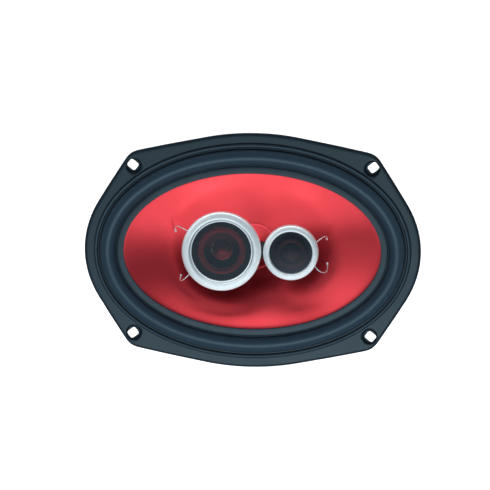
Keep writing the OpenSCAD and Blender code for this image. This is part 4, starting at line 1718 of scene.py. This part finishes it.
@dataclass
class Studio:
    """The camera, the lights and the pale floor."""

    distance: float = 1.3
    lens: float = 136.0
    aim: tuple[float, float] = (-0.00506, 0.0039)
    tilt: tuple[float, float] = (8.0, 3.0)
    roll: float = 0.45
    world: Colour = (0.12, 0.145, 0.17)
    boxes: tuple[Softbox, ...] = (
        Softbox("front_wall", (0.1, -1.0, 0.5), (2.7, 1.05), 1.1, Reach.PAST_PODS),
        Softbox("front_middle", (0.03, -0.93, 0.31), (0.45, 0.22), 1.0, Reach.PAST_PODS),
        Softbox("front_right", (0.82, -0.57, 0.84), (0.5, 0.4), 1.1, Reach.PAST_PODS),
        Softbox("overhead", (0.0, -0.62, 1.5), (1.1, 0.7), 2.2, Reach.PAST_PODS,
                (0.85, 0.95, 1.0)),
        Softbox("low_back", (-0.1, 0.95, 0.25), (1.2, 0.34), 4.6, Reach.SHADED),
        Softbox("back_left", (-0.72, 0.5, 0.62), (0.7, 0.55), 1.8, Reach.SHADED),
        Softbox("back_right", (0.5, 0.74, 0.5), (0.5, 0.45), 1.3, Reach.SHADED),
        Softbox("left_side", (-0.8, -0.05, 0.85), (0.6, 0.4), 0.5, Reach.SHADED),
        Softbox("black_top", (0.0, -0.45, 1.45), (0.7, 0.42), 9.8, Reach.BLACK_RIM,
                (0.6, 0.86, 1.0)))
    floor_half: float = 6.0
    pods: tuple[str, ...] = ("mid", "tweeter", "bridge", "centre_post", "post_screw")
    black: tuple[str, ...] = ("stamped_basket", "half_roll_surround", "gasket_bead")

    def camera(self) -> None:
        """Places the camera above the speaker's front, a little towards +Y and +X."""
        up, aside = (math.radians(a) for a in self.tilt)
        away = Vector((math.sin(aside), math.sin(up), 1.0))
        away.z = math.sqrt(1 - away.x ** 2 - away.y ** 2)
        data = bpy.data.cameras.new("camera")
        data.lens, data.sensor_width, data.clip_end = self.lens, 36.0, 50.0
        made = bpy.data.objects.new("camera", data)
        right = Vector((0, 1, 0)).cross(away).normalized()
        turned = Matrix((right, away.cross(right), away)).transposed().to_4x4()
        made.matrix_world = (Matrix.Translation(Vector((*self.aim, 0)) + away * self.distance)
                             @ turned @ Matrix.Rotation(math.radians(self.roll), 4, "Z"))
        bpy.context.scene.collection.objects.link(made)
        bpy.context.scene.camera = made

    def floor(self) -> None:
        """The pale floor that the speaker's magnet stands on."""
        shape = Shape()
        bmesh.ops.create_grid(shape.bm, x_segments=8, y_segments=8, size=self.floor_half)
        made = shape.mesh("floor")
        made.location = (0, 0, CAD_BOX[0][2])
        made.data.materials.append(PAPER.material())
        made.visible_glossy = False

    def light(self) -> None:
        """Sets the world and hangs the lights."""
        scene = bpy.context.scene
        scene.view_settings.view_transform = "Standard"
        scene.world = bpy.data.worlds.new("studio")
        scene.world.use_nodes = True
        scene.world.node_tree.nodes["Background"].inputs[0].default_value = (*self.world, 1)
        for box in self.boxes:
            box.hang()

    def build(self) -> None:
        """Sets up everything that isn't the speaker."""
        self.camera()
        self.floor()
        self.light()

    @staticmethod
    def listed(name: str, pieces: Iterable[bpy.types.Object],
               state: str) -> bpy.types.Collection:
        """Lists pieces for lights to take in or to leave out.

        Args:
            name: The list's name.
            pieces: The pieces.
            state: "INCLUDE" or "EXCLUDE".

        Returns:
            The collection that a light's linking takes.
        """
        made = bpy.data.collections.new(name)
        for piece in pieces:
            made.objects.link(piece)
        for member in made.collection_objects:
            member.light_linking.link_state = state
        return made

    def flag(self) -> None:
        """Gives every light its reach, once all the pieces are there."""
        pods = [piece for piece in bpy.data.objects if piece.name.startswith(self.pods)]
        black = [bpy.data.objects[name] for name in self.black]
        no_shade = self.listed("no_shade_from", pods, "EXCLUDE")
        spared = self.listed("not_on", black, "EXCLUDE")
        alone = self.listed("only_on", black, "INCLUDE")
        for box in self.boxes:
            linking = bpy.data.objects[box.name].light_linking
            linking.receiver_collection = alone if box.reach is Reach.BLACK_RIM else spared
            if box.reach is not Reach.SHADED:
                linking.blocker_collection = no_shade


def main() -> None:
    """Builds the studio, then the speaker from the back forwards."""
    logging.basicConfig(level=logging.INFO, format="%(message)s")
    studio = Studio()
    groups = [studio, PlainParts(), Basket(), Motor(), Terminals(), Suspension(),
              WooferCone(), Midrange(), Tweeter(), Wiring()]
    for group in groups:
        group.build()
    studio.flag()


if __name__ == "__main__":
    main()
